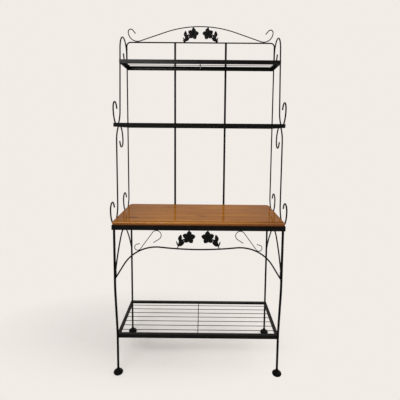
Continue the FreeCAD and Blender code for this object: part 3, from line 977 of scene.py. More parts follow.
@dataclass
class ShelfGrid(SubAssembly):
    """The wires of one shelf, let into a flat brace under them.

    end is the distance of the outer spot welds from a wire's end. A blob of weld has half its
    length, a radius and a height on the wire, which is a share of the wire's radius.
    """

    level: Level
    finish: bpy.types.Material
    pitch: float = 0.045
    wire: float = 0.0018
    flange: float = 0.021
    brace: tuple[float, float] = (0.0045, 0.009)
    brace_rounding: float = 0.0005
    end: float = 0.009
    blob_half: float = 0.003
    blob_radius: float = 0.0011
    blob_height: float = 0.3

    def build(self) -> list[Piece]:
        """Builds the wires, their spot welds and the brace.

        Returns:
            One piece that holds them all.
        """
        node = f"{self.level.value}_grid"
        low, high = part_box(node)
        front, rear = low.y - ANGLE_IRON, high.y + ANGLE_IRON
        count = int((rear - front - 2 * self.flange) / self.pitch + TINY)
        nearest = (front + rear - self.pitch * (count - 1)) / 2
        height = rail_box(self.level, Edge.FRONT)[1].z - ANGLE_IRON - self.wire
        tubes = []
        for index in range(count):
            y = nearest + self.pitch * index
            ends = [Vector((low.x, y, height)), Vector((high.x, y, height))]
            tubes.append(Tube(ends, self.wire, WIRE_SIDES))
            for way in (-1, 1):
                tubes.extend(self.spot_weld(way * (high.x - self.end), y, height))
            tubes.extend(self.spot_weld(0.0, y, height - self.wire))
        mesh = tubes_mesh(tubes)
        self.add_brace(mesh, low.y, high.y, height)
        return [add_piece(f"{self.level.value}_shelf_wires", mesh, self.finish, [node])]

    def spot_weld(self, x: float, y: float, z: float) -> list[Tube]:
        """Makes a small blob of weld on both sides of a wire.

        Args:
            x: How far to the right the weld is.
            y: How far to the wall.
            z: How high.

        Returns:
            The two blobs.
        """
        blobs = []
        half = TO_RIGHT * self.blob_half
        for way in (-1, 1):
            at = Vector((x, y + way * self.wire, z + self.wire * self.blob_height))
            blobs.append(Tube([at - half, at + half], self.blob_radius, BEAD_SIDES))
        return blobs

    def add_brace(self, mesh: Mesh, front: float, rear: float, top: float) -> None:
        """Adds the flat bar that runs from front to rear under the wires.

        Args:
            mesh: The mesh to add to.
            front: The y of its front end.
            rear: The y of its rear end.
            top: The height of its upper edge.
        """
        width, depth = self.brace
        scale = Matrix.Diagonal((width, rear - front, depth, 1.0))
        middle = Matrix.Translation((0.0, (front + rear) / 2, top - depth / 2))
        made = bmesh.ops.create_cube(mesh, size=1.0, matrix=middle @ scale)
        edges = list({edge for vert in made["verts"] for edge in vert.link_edges})
        bmesh.ops.bevel(mesh, geom=edges, offset=self.brace_rounding, segments=2, affect="EDGES")


# ------------------------------------------------------------------ legs, feet and arches
@dataclass
class Stand(SubAssembly):
    """One side's two legs with their feet, and the arch between them.

    The front leg goes back by sweep, leaning by lean, between its knee and its ankle. The arch has
    a flatter flank on each side of its crown: slope is its lean at the legs, crown_slope where
    flank and crown meet. A foot's profile is radius and height from the floor, and its socket's
    is measured from the leg's skin and from the foot's top.
    """

    side: Side
    finish: bpy.types.Material
    seat: float = 0.008
    sweep: float = 0.035
    lean: float = 7.5
    upright: float = 0.005
    knee_radius: float = 0.5
    ankle_radius: float = 0.2
    leg_step: float = 1.25
    gap: float = 0.0555
    rise: float = 0.208
    slope: float = 62.6
    crown_slope: float = 40.0
    arch_step: float = 3.0
    foot_profile: tuple[tuple[float, float], ...] = (
        (0.0178, 0.0),
        (0.0200, 0.0006),
        (0.0235, 0.0028),
        (0.0256, 0.0060),
        (0.0262, 0.0092),
        (0.0256, 0.0125),
        (0.0236, 0.0156),
        (0.0202, 0.0182),
        (0.0164, 0.0198),
        (0.0150, 0.0208),
        (0.0124, 0.0218),
        (0.0104, 0.0234),
        (0.0095, 0.0255),
        (0.0092, 0.0290),
    )
    socket_profile: tuple[tuple[float, float], ...] = (
        (0.0016, -0.0012),
        (0.0012, -0.0003),
        (0.0004, 0.0),
        (-0.0004, -0.0002),
    )

    def build(self) -> list[Piece]:
        """Builds one side's legs, feet and arch.

        Returns:
            The new pieces.
        """
        wall = rail_box(Level.WORKTOP, Edge.REAR)[1].y
        under, top = (corner.z for corner in rail_box(Level.WORKTOP, Edge.FRONT))
        top -= ANGLE_IRON
        word = self.side.word
        low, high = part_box(f"front_leg_{word}")
        x = (low.x + high.x) / 2
        depth = wall - low.y - half_thickness(f"front_leg_{word}", Axis.X)
        low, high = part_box(f"rear_leg_{word}")
        rear = (low + high) / 2
        front_line = self.front_line(x, wall, depth, top)
        rear_line = [Vector((rear.x, rear.y, height)) for height in (self.seat, top)]
        pieces = []
        for end, line in (("front", front_line), ("rear", rear_line)):
            leg = f"{end}_leg_{word}"
            radius = half_thickness(leg, Axis.X)
            mesh = tubes_mesh([Tube(line, radius, LEG_SIDES, domed=False)])
            pieces.append(add_piece(f"{end}_leg_rod_{word}", mesh, self.finish, [leg]))
            pieces.append(self.foot(f"{end}_foot_{word}", radius))
        arch = f"side_arch_{word}"
        line = self.arch_line(side_plane(x, wall), depth, wall - rear.y, under - self.gap - self.rise)
        mesh = tubes_mesh([Tube(line, half_thickness(arch, Axis.X), domed=False)])
        pieces.append(add_piece(f"side_arch_rod_{word}", mesh, self.finish, [arch]))
        return pieces

    def front_line(self, x: float, wall: float, depth: float, top: float) -> Line:
        """Draws a front leg's line from the worktop down to its foot.

        Args:
            x: How far to the right the leg is.
            wall: The y of the wall.
            depth: The leg's distance from the wall.
            top: The height of its upper end.

        Returns:
            The line.
        """
        both = self.knee_radius + self.ankle_radius
        slant = (self.sweep - both * (1 - cos(self.lean))) / sin(self.lean)
        swept = both * sin(self.lean) + slant * cos(self.lean)
        shelf = rail_box(Level.LOWER, Edge.FRONT)[1].z
        pen = Pen(side_plane(x, wall), depth, top, -90.0, step=self.leg_step)
        pen.line(top - shelf - self.upright - swept).bend(self.knee_radius, -self.lean)
        pen.line(slant).bend(self.ankle_radius, self.lean)
        return pen.line(pen.second - self.seat).points

    def foot(self, node: str, leg: float) -> Piece:
        """Builds a turned foot round its leg.

        Args:
            node: The foot's node.
            leg: The leg's radius.

        Returns:
            The new piece.
        """
        low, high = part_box(node)
        base = Vector(((low.x + high.x) / 2, (low.y + high.y) / 2, 0.0))
        socket = [(leg + out, high.z + up) for out, up in self.socket_profile]
        mesh = bmesh.new()
        add_turned(mesh, base, [*self.foot_profile, *socket], FOOT_SIDES)
        return add_piece(f"turned_{node}", mesh, self.finish, [node])

    def arch_line(self, place: Place, front: float, rear: float, spring: float) -> Line:
        """Draws the side arch's line from the rear leg to the front leg.

        Args:
            place: The plane that it lies in.
            front: The front leg's distance from the wall.
            rear: The rear leg's distance from the wall.
            spring: The height of the arch's ends.

        Returns:
            The line.
        """
        half = (front - rear) / 2
        flank_run = sin(self.slope) - sin(self.crown_slope)
        flank_rise = cos(self.crown_slope) - cos(self.slope)
        crown_run, crown_rise = sin(self.crown_slope), 1 - cos(self.crown_slope)
        scale = flank_run * crown_rise - crown_run * flank_rise
        flank = (half * crown_rise - crown_run * self.rise) / scale
        crown = (flank_run * self.rise - flank_rise * half) / scale
        turn = self.slope - self.crown_slope
        pen = Pen(place, rear, spring, self.slope, step=self.arch_step)
        pen.bend(flank, -turn).bend(crown, -2 * self.crown_slope)
        return pen.bend(flank, -turn).points


@dataclass
class Apron(SubAssembly):
    """The arch between the front legs and the two scrolls that stand on it.

    The arch dips by hump in its middle and falls to the legs from its shoulders. A scroll's head
    curls under the worktop and its foot rests on the shoulder, rest degrees out from its top.
    """

    finish: bpy.types.Material
    set_back: float = 0.005
    drop: float = 0.1035
    hump: float = 0.012
    shoulder_inset: float = 0.236
    shoulder_radius: float = 0.204
    slope: float = 58.5
    step: float = 2.0
    seat: float = 0.0005
    head_inset: float = 0.236
    head_radius: float = 0.025
    head_turn: float = 147.0
    head_tip: float = 0.036
    rest: float = 26.0
    foot_radius: float = 0.0165
    foot_heading: float = 168.0
    foot_tip: float = 0.016

    def __post_init__(self) -> None:
        """Takes its place and its rods' radii from the frame."""
        side = rail_box(Level.WORKTOP, Edge.RIGHT)[1].x
        low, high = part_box("front_leg_right")
        corner = rail_box(Level.WORKTOP, Edge.FRONT)[0]
        self.leg_x = (low.x + high.x) / 2
        self.front = corner.y
        self.under = corner.z
        self.dip = self.under - self.drop
        self.shoulder_x = side - self.shoulder_inset
        self.head_x = side - self.head_inset
        self.rod = half_thickness("apron_arch", Axis.Y)
        self.wire = half_thickness("apron_scroll_right", Axis.Y)

    def build(self) -> list[Piece]:
        """Builds the arch and both scrolls.

        Returns:
            The new pieces.
        """
        line = both_ways(front_plane(self.front + self.set_back), self.dip, self.half_arch)
        mesh = tubes_mesh([Tube(line, self.rod, domed=False)])
        pieces = [add_piece("apron_arch_rod", mesh, self.finish, ["apron_arch"])]
        for side in Side:
            mesh = tubes_mesh([Tube(self.scroll(side), self.wire, WIRE_SIDES)])
            name = f"apron_scroll_wire_{side.word}"
            pieces.append(add_piece(name, mesh, self.finish, [f"apron_scroll_{side.word}"]))
        return pieces

    def dip_curve(self) -> tuple[float, float]:
        """The slope at the ends of the dip, and the dip's radius."""
        slope = 2 * math.degrees(math.atan2(self.hump, self.shoulder_x))
        return slope, self.shoulder_x / sin(slope) - self.shoulder_radius

    def height(self, x: float) -> float:
        """The height of the arch's centre line near its middle."""
        radius = self.dip_curve()[1]
        return self.dip + radius - math.sqrt(radius**2 - x**2)

    def half_arch(self, pen: Pen, way: int) -> None:
        """Draws one half of the arch, from its middle to a leg.

        Args:
            pen: The pen, at the middle.
            way: 1 for the right half and -1 for the left.
        """
        slope, radius = self.dip_curve()
        pen.step = self.step
        pen.bend(radius, way * slope)
        pen.bend(self.shoulder_radius, -way * (slope + self.slope))
        pen.line((self.leg_x - abs(pen.first)) / cos(self.slope))

    def scroll(self, side: Side) -> Line:
        """Draws the line of the scroll on one side.

        Args:
            side: The side.

        Returns:
            The line from the scroll's head to its foot.
        """
        reach = self.shoulder_radius + self.rod + self.wire + self.foot_radius - self.seat
        head_z = self.under - self.wire
        foot_x = self.shoulder_x + reach * sin(self.rest)
        foot_z = self.dip + self.hump - self.shoulder_radius + reach * cos(self.rest)
        across = foot_x - self.head_x
        down = head_z - self.head_radius - foot_z
        span = math.hypot(across, down)
        both = self.head_radius + self.foot_radius
        slope = math.degrees(math.atan2(down, across) + math.asin(both / span))
        front = front_plane(self.front + ANGLE_IRON)

        def place(outward: float, height: float) -> Vector:
            """Maps a distance from the rack's middle and a height to a point on the side."""
            return front(side.value * outward, height)

        foot = Pen(place, self.head_x, head_z, 0.0)
        foot.bend(self.head_radius, -slope).line(math.sqrt(span**2 - both**2))
        foot.bend(self.foot_radius, slope + self.foot_heading).line(self.foot_tip)
        head = Pen(place, self.head_x, head_z, 180.0)
        head.bend(self.head_radius, self.head_turn).line(self.head_tip)
        return head.points[:0:-1] + foot.points


# ------------------------------------------------------------------ hutch
@dataclass
class Hook:
    """A J-hook: an egg-shaped belly, a tight return and a straight tip."""

    half_width: float = 0.074
    depth: float = 0.090
    belly: float = 0.058
    top: float = 0.036
    turn: float = 150.0
    tip: float = 0.022

    def side(self) -> tuple[float, float]:
        """Works out the flatter bends on both sides of the belly.

        Returns:
            Their radius and turn.
        """
        rest = self.depth - self.belly
        radius = self.half_width**2 + rest**2 - self.belly**2
        radius /= 2 * (self.half_width - self.belly)
        return radius, math.degrees(math.atan2(rest, radius - self.half_width))

    def draw(self, pen: Pen, lean: float = 0.0) -> None:
        """Draws the hook at the end of a run.

        Args:
            pen: The pen, at the end of the run.
            lean: The angle by which the run leans.
        """
        radius, turn = self.side()
        pen.bend(radius, turn - lean).bend(self.belly, 180.0 - 2 * turn)
        pen.bend(radius, turn).bend(self.top, self.turn).line(self.tip)


@dataclass
class Hutch(SubAssembly):
    """The hoop behind the shelves, the scrolled side rods and the crest over them."""

    finish: bpy.types.Material
    hook: Hook = field(default_factory=Hook)
    corner: float = 0.024
    lower_depth: float = 0.292
    arch_radius: float = 0.084
    arch_rise: float = 0.152
    lean: float = 3.9
    curl: float = 0.0305
    curl_turn: float = 151.0
    curl_tip: float = 0.064
    crest_rise: float = 0.098
    crest_slope: float = 18.5
    crest_inset: float = 0.063
    crest_sweep: float = 0.057
    crest_curl: float = 0.016
    crest_turn: float = 140.0
    crest_tip: float = 0.028

    def __post_init__(self) -> None:
        """Takes its place and its rods' radii from the frame."""
        side = rail_box(Level.WORKTOP, Edge.RIGHT)[1].x
        self.wall = rail_box(Level.WORKTOP, Edge.REAR)[1].y
        self.rod = half_thickness("lower_rod_right", Axis.X)
        self.wire = half_thickness("crest_arch", Axis.Y)
        self.x = side + self.rod
        # An upper rod's arch starts in front of the hoop's upright, and they touch.
        self.rear = 3 * self.rod
        self.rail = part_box("hoop")[1].z - self.rod
        self.arch_height = rail_box(Level.TOP, Edge.FRONT)[1].z + self.arch_rise
        self.crest_rest = side - self.crest_inset

    def build(self) -> list[Piece]:
        """Builds the rods of the hutch.

        Returns:
            The new pieces.
        """
        hoop = tubes_mesh([Tube(self.hoop(), self.rod)])
        crest = tubes_mesh([Tube(self.crest(), self.wire)])
        pieces = [
            add_piece("hoop_rod", hoop, self.finish, ["hoop"]),
            add_piece("crest_wire", crest, self.finish, ["crest_arch"]),
        ]
        for side in Side:
            for name, line in (("lower_rod", self.lower_rod(side)), ("upper_rod", self.upper_rod(side))):
                mesh = tubes_mesh([Tube(line, self.rod)])
                piece = f"{name}_scroll_{side.word}"
                pieces.append(add_piece(piece, mesh, self.finish, [f"{name}_{side.word}"]))
        return pieces

    def middle(self, level: Level) -> float:
        """The height at which the rods cross a frame's side rails."""
        low, high = rail_box(level, Edge.LEFT)
        return (low.z + high.z) / 2

    def hooked(self, place: Place, depth: float, start: float, bottom: float) -> Line:
        """Draws an upright's line down to a hook.

        Args:
            place: The plane that it lies in.
            depth: The upright's distance from the wall.
            start: The height at which the line starts.
            bottom: The height of the hook's belly.

        Returns:
            The line.
        """
        pen = Pen(place, depth, start, -90.0)
        pen.line(start - bottom - self.hook.depth)
        self.hook.draw(pen)
        return pen.points

    def hoop(self) -> Line:
        """Draws the rear uprights and the top rail in one line.

        Returns:
            The line from the left hook to the right hook.
        """
        shoulder = self.rail - self.corner
        belly = self.middle(Level.WORKTOP)
        left = self.hooked(side_plane(-self.x, self.wall), self.rod, shoulder, belly)
        right = self.hooked(side_plane(self.x, self.wall), self.rod, shoulder, belly)
        top = Pen(front_plane(self.wall - self.rod), -self.x, shoulder, 90.0)
        top.bend(self.corner, -90.0).line(2 * (self.x - self.corner)).bend(self.corner, -90.0)
        return left[::-1] + top.points + right

    def lower_rod(self, side: Side) -> Line:
        """Draws the rod with a hook at the worktop and an inverted one at the shelf above.

        Args:
            side: The rod's side.

        Returns:
            The line from the upper hook to the lower one.
        """
        place = side_plane(side.value * self.x, self.wall)
        low, high = self.middle(Level.WORKTOP), self.middle(Level.SECOND)
        half = (low + high) / 2
        down = self.hooked(place, self.lower_depth, half, low)
        up = Pen(place, self.lower_depth, half, 90.0)
        up.line(high - half - self.hook.depth)
        self.hook.draw(up)
        return up.points[:0:-1] + down[1:]

    def upper_rod(self, side: Side) -> Line:
        """Draws the rod with a curl, an arch, a leaning run and a hook.

        Args:
            side: The rod's side.

        Returns:
            The line from the curl to the hook.
        """
        place = side_plane(side.value * self.x, self.wall)
        spring = self.arch_height - self.arch_radius
        curl = Pen(place, self.rear, spring, -90.0)
        curl.line(spring - self.middle(Level.TOP) - self.curl).bend(self.curl, self.curl_turn)
        curl.line(self.curl_tip)
        front = Pen(place, self.rear, spring, 90.0)
        front.bend(self.arch_radius, self.lean - 180.0)
        bottom = self.middle(Level.SECOND) + self.hook.depth - self.hook.side()[0] * sin(self.lean)
        front.line((front.second - bottom) / cos(self.lean))
        self.hook.draw(front, self.lean)
        return curl.points[:0:-1] + front.points

    def crest_radius(self) -> float:
        """Works out the radius of the crest's round middle.

        Returns:
            The radius with which the crest comes to rest on the top rail.
        """
        rise = self.crest_rise - self.rod - self.wire
        tangent = sin(self.crest_slope) / cos(self.crest_slope)
        both = (self.crest_rest * tangent - rise) / (1 / cos(self.crest_slope) - 1)
        return both - self.crest_sweep

    def half_crest(self, pen: Pen, way: int) -> None:
        """Draws one half of the crest, from its middle to its curl.

        Args:
            pen: The pen, at the middle.
            way: 1 for the right half and -1 for the left.
        """
        radius = self.crest_radius()
        run = self.crest_rest - (radius + self.crest_sweep) * sin(self.crest_slope)
        pen.bend(radius, -way * self.crest_slope).line(run / cos(self.crest_slope))
        pen.bend(self.crest_sweep, way * (self.crest_slope + 90.0))
        pen.bend(self.crest_curl, way * self.crest_turn).line(self.crest_tip)

    def crest(self) -> Line:
        """The thin arch over the top rail, with a curl at each end."""
        place = front_plane(self.wall - self.rod)
        return both_ways(place, self.rail + self.crest_rise, self.half_crest)

    def crest_at(self, x: float) -> float:
        """The height of the crest's centre line near its middle."""
        radius = self.crest_radius()
        return self.rail + self.crest_rise - radius + math.sqrt(radius**2 - x**2)


# ------------------------------------------------------------------ cast flowers and leaves
def direction(angle: float) -> Vector:
    """The direction at an angle from +X towards +Z."""
    return Vector((cos(angle), 0.0, sin(angle)))


@dataclass
class Blade:
    """A cast petal or leaf: flat behind, with a midrib, veins and a soft rim in front.

    A fullness over 1 puts its widest place nearer the tip, and one under 1 nearer the base. ridge
    and edge are its thickness along the midrib and at the rim. The other shares say how its face
    is made up: the midrib with its width, the body with its fall to the rim, the veins with their
    slant, and how thin the blade is at its ends.
    """

    length: float
    width: float
    fullness: float
    angle: float
    base: Vector
    ridge: float = 0.003
    edge: float = 0.0012
    veins: int = 5
    along: int = 18
    across: int = 10
    first: float = 0.02
    span: float = 0.97
    roundness: float = 0.85
    rib: float = 0.45
    rib_width: float = 0.16
    body: float = 0.6
    fall: float = 0.55
    vein: float = 0.1
    vein_slant: float = 0.35
    thin_end: float = 0.55
    swell: float = 0.45
    swell_reach: float = 1.15

    def half_width(self, part: float) -> float:
        """Half its width at a part of its length."""
        return self.width / 2 * max(sin(180.0 * part**self.fullness), 0.0) ** self.roundness

    def front(self, part: float, way: float) -> float:
        """Works out how far its face stands out.

        Args:
            part: A part of its length.
            way: The place across it, from -1 to 1.

        Returns:
            The distance from its back.
        """
        rib = self.rib * math.exp(-((way / self.rib_width) ** 2))
        body = self.body * (1 - self.fall * way**2)
        wave = math.sin(2 * math.pi * self.veins * (part - self.vein_slant * abs(way)))
        vein = self.vein * wave * (1 - abs(way))
        taper = self.thin_end + self.swell * math.sin(math.pi * min(part * self.swell_reach, 1.0))
        return self.edge + (self.ridge - self.edge) * (body + rib + vein) * taper

    def spot(self, part: float, way: float, out: float) -> Vector:
        """Works out a point of the blade.

        Args:
            part: A part of its length.
            way: The place across it, from -1 to 1.
            out: The distance from its back.

        Returns:
            The point in the rack's frame.
        """
        along = direction(self.angle) * (self.length * part)
        across = direction(self.angle + 90.0) * (self.half_width(part) * way)
        return self.base + along + across - TO_WALL * out

    def add_to(self, mesh: Mesh) -> None:
        """Adds the blade to a mesh.

        Args:
            mesh: The mesh to add to.
        """
        parts = [self.first + self.span * index / self.along for index in range(self.along + 1)]
        ways = [-1 + 2 * index / self.across for index in range(self.across + 1)]
        front, back = [], []
        for part in parts:
            front.append([mesh.verts.new(self.spot(part, way, self.front(part, way))) for way in ways])
            back.append([mesh.verts.new(self.spot(part, way, 0.0)) for way in ways])
        for grid in (front, back):
            for near, far in zip(grid, grid[1:]):
                self.join(mesh, near, far, grid is front)
        for start, end in ((front[0], back[0]), (front[-1], back[-1])):
            self.join(mesh, start, end)
        for index in (0, -1):
            self.join(mesh, [row[index] for row in front], [row[index] for row in back])

    def join(
        self,
        mesh: Mesh,
        near: Sequence[bmesh.types.BMVert],
        far: Sequence[bmesh.types.BMVert],
        smooth: bool = True,
    ) -> None:
        """Joins two rows of points with faces.

        Args:
            mesh: The mesh that the points are in.
            near: One row.
            far: The other row, with as many points.
            smooth: Whether the faces are shaded smoothly.
        """
        for index in range(len(near) - 1):
            quad = (near[index], far[index], far[index + 1], near[index + 1])
            mesh.faces.new(quad).smooth = smooth


@dataclass(frozen=True)
class Leaf:
    """A leaf of a spray.

    at is its place along the stem above the fork, and spread its angle from the stem, towards the
    flower.
    """

    at: float
    length: float
    width: float
    spread: float


@dataclass
class Sprig(SubAssembly):
    """A five-petalled flower and the spray of leaves beside it.

    hang is the height of what the flower hangs from, drop its distance below that, turn the lean
    of its top petal to the left, and foot the height of what the spray's stalk stands on. A petal
    has a length, a width and a fullness, and the eye and its beads have a radius and a height.
    """

    node: str
    side: Side
    finish: bpy.types.Material
    depth: float
    flower_x: float
    hang: float
    drop: float
    turn: float
    spray_x: float
    foot: float
    lean: float
    thickness: float = 0.003
    petals: int = 5
    petal: tuple[float, float, float] = (0.0355, 0.027, 1.25)
    petal_veins: int = 4
    stem: float = 0.0027
    stem_reach: float = 0.006
    stalk: float = 0.016
    stalk_lean: float = 7.5
    hanger: float = 0.013
    hanger_fullness: float = 1.5
    hanger_reach: float = 0.001
    leaf_fullness: float = 0.8
    leaves: tuple[Leaf, ...] = (
        Leaf(0.027, 0.039, 0.0210, 0.0),
        Leaf(0.013, 0.040, 0.0165, 34.0),
        Leaf(0.002, 0.038, 0.0175, 48.0),
        Leaf(0.0, 0.031, 0.0075, -33.0),
    )
    eye: tuple[float, float] = (0.0042, 0.0052)
    bead: tuple[float, float] = (0.0011, 0.0042)
    beads: int = 8
    bead_ring: float = 0.0058

    def spot(self, x: float, z: float) -> Vector:
        """A point on the back of the sprig, before it is set to its side."""
        return Vector((x, self.depth + self.thickness / 2, z))

    def build(self) -> list[Piece]:
        """Builds the flower, its eye, the stems and the leaves.

        Returns:
            One piece that holds them all.
        """
        heart = self.spot(self.flower_x, self.hang - self.drop)
        hung = self.spot(self.flower_x, self.hang)
        foot = self.spot(self.spray_x, self.foot)
        along = direction(90.0 + self.lean)
        fork = foot + direction(90.0 + self.lean + self.stalk_lean) * self.stalk
        tip = fork + along * (self.leaves[0].at + self.stem_reach)
        mesh = bmesh.new()
        for angle in around(self.petals):
            Blade(*self.petal, 90.0 + self.turn + angle, heart, veins=self.petal_veins).add_to(mesh)
        for leaf in self.leaves:
            base = fork + along * leaf.at
            angle = 90.0 + self.lean + leaf.spread
            Blade(leaf.length, leaf.width, self.leaf_fullness, angle, base).add_to(mesh)
        length = self.drop + self.hanger_reach
        Blade(length, self.hanger, self.hanger_fullness, 90.0, heart).add_to(mesh)
        middle = TO_WALL * (-self.thickness / 2)
        for start, end in ((heart, hung), (foot, fork), (fork, tip), (fork, heart)):
            Tube([start + middle, end + middle], self.stem, WIRE_SIDES, domed=False).add_to(mesh)
        self.add_eye(mesh, heart)
        if self.side is Side.LEFT:
            bmesh.ops.scale(mesh, vec=(-1.0, 1.0, 1.0), verts=mesh.verts)
        return [add_piece(f"cast_{self.node}", mesh, self.finish, [self.node])]

    def add_eye(self, mesh: Mesh, heart: Vector) -> None:
        """Adds the flower's domed eye and the ring of small beads round it.

        Args:
            mesh: The mesh to add to.
            heart: The flower's centre.
        """
        radius, height = self.eye
        Tube([heart, heart - TO_WALL * height], radius).add_to(mesh)
        radius, height = self.bead
        for angle in around(self.beads):
            at = heart + direction(angle) * self.bead_ring
            Tube([at, at - TO_WALL * height], radius, BEAD_SIDES).add_to(mesh)


def sprigs(apron: Apron, hutch: Hutch, finish: bpy.types.Material) -> list[Sprig]:
    """Plans the four sprigs, under the worktop and under the crest.

    Args:
        apron: The arch on which the lower sprays stand.
        hutch: The hutch with the top rail and the crest.
        finish: The sprigs' finish.

    Returns:
        The sprigs.
    """
    apron_spray, crest_flower = 0.112, 0.046
    crest_leaves = (*Sprig.leaves, Leaf(-0.003, 0.019, 0.0090, -60.0), Leaf(0.006, 0.022, 0.0090, -42.0))
    found = []
    for side in Side:
        found.append(
            Sprig(
                f"apron_sprig_{side.word}",
                side,
                finish,
                depth=apron.front + ANGLE_IRON / 2,
                flower_x=0.050,
                hang=apron.under,
                drop=0.0375,
                turn=5.0,
                spray_x=apron_spray,
                foot=apron.height(apron_spray),
                lean=13.0,
            )
        )
        found.append(
            Sprig(
                f"crest_sprig_{side.word}",
                side,
                finish,
                depth=hutch.wall - hutch.rod,
                flower_x=crest_flower,
                hang=hutch.crest_at(crest_flower),
                drop=0.042,
                turn=10.0,
                spray_x=0.0975,
                foot=hutch.rail,
                lean=2.0,
                stalk=0.008,
                leaves=crest_leaves,
            )
        )
    return found


# ------------------------------------------------------------------ worktop
@dataclass
class Worktop(SubAssembly):
    """The wooden board and the screws that hold it to its frame.

    places are the screws of the long rails, from the rack's middle. The screw's profile is radius
    and height from its seat, and cross the height, half length and radius of the cross in its head.
    """

    wood: bpy.types.Material
    steel: bpy.types.Material
    inset: float = 0.013
    places: tuple[float, ...] = (-0.36, -0.12, 0.12, 0.36)
    profile: tuple[tuple[float, float], ...] = (
        (0.0010, -0.0022),
        (0.0012, -0.0014),
        (0.0020, -0.0021),
        (0.0030, -0.0017),
        (0.0038, -0.0007),
        (0.0038, 0.0),
    )
    cross: tuple[float, float, float] = (-0.0019, 0.0017, 0.00035)
    cross_sides: int = 6

    def build(self) -> list[Piece]:
        """Varnishes the board and adds its screws.

        Returns:
            The board, and the screws as one piece.
        """
        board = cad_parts["worktop_board"]
        dress(board, self.wood)
        low, high = rail_box(Level.WORKTOP, Edge.FRONT)[0], rail_box(Level.WORKTOP, Edge.REAR)[1]
        under = high.z - ANGLE_IRON
        mesh = bmesh.new()
        for x in self.places:
            for y in (low.y + self.inset, high.y - self.inset):
                self.add_screw(mesh, Vector((x, y, under)))
        for x in (low.x + self.inset, high.x - self.inset):
            self.add_screw(mesh, Vector((x, (low.y + high.y) / 2, under)))
        return [board, add_piece("board_screws", mesh, self.steel)]

    def add_screw(self, mesh: Mesh, seat: Vector) -> None:
        """Adds a round-headed screw under its seat, with a groove and a cross in its head.

        Args:
            mesh: The mesh to add to.
            seat: The middle of its seat.
        """
        add_turned(mesh, seat, self.profile, SCREW_SIDES)
        height, half, radius = self.cross
        middle = seat + UP * height
        for way in (TO_RIGHT, TO_WALL):
            Tube([middle - way * half, middle + way * half], radius, self.cross_sides).add_to(mesh)


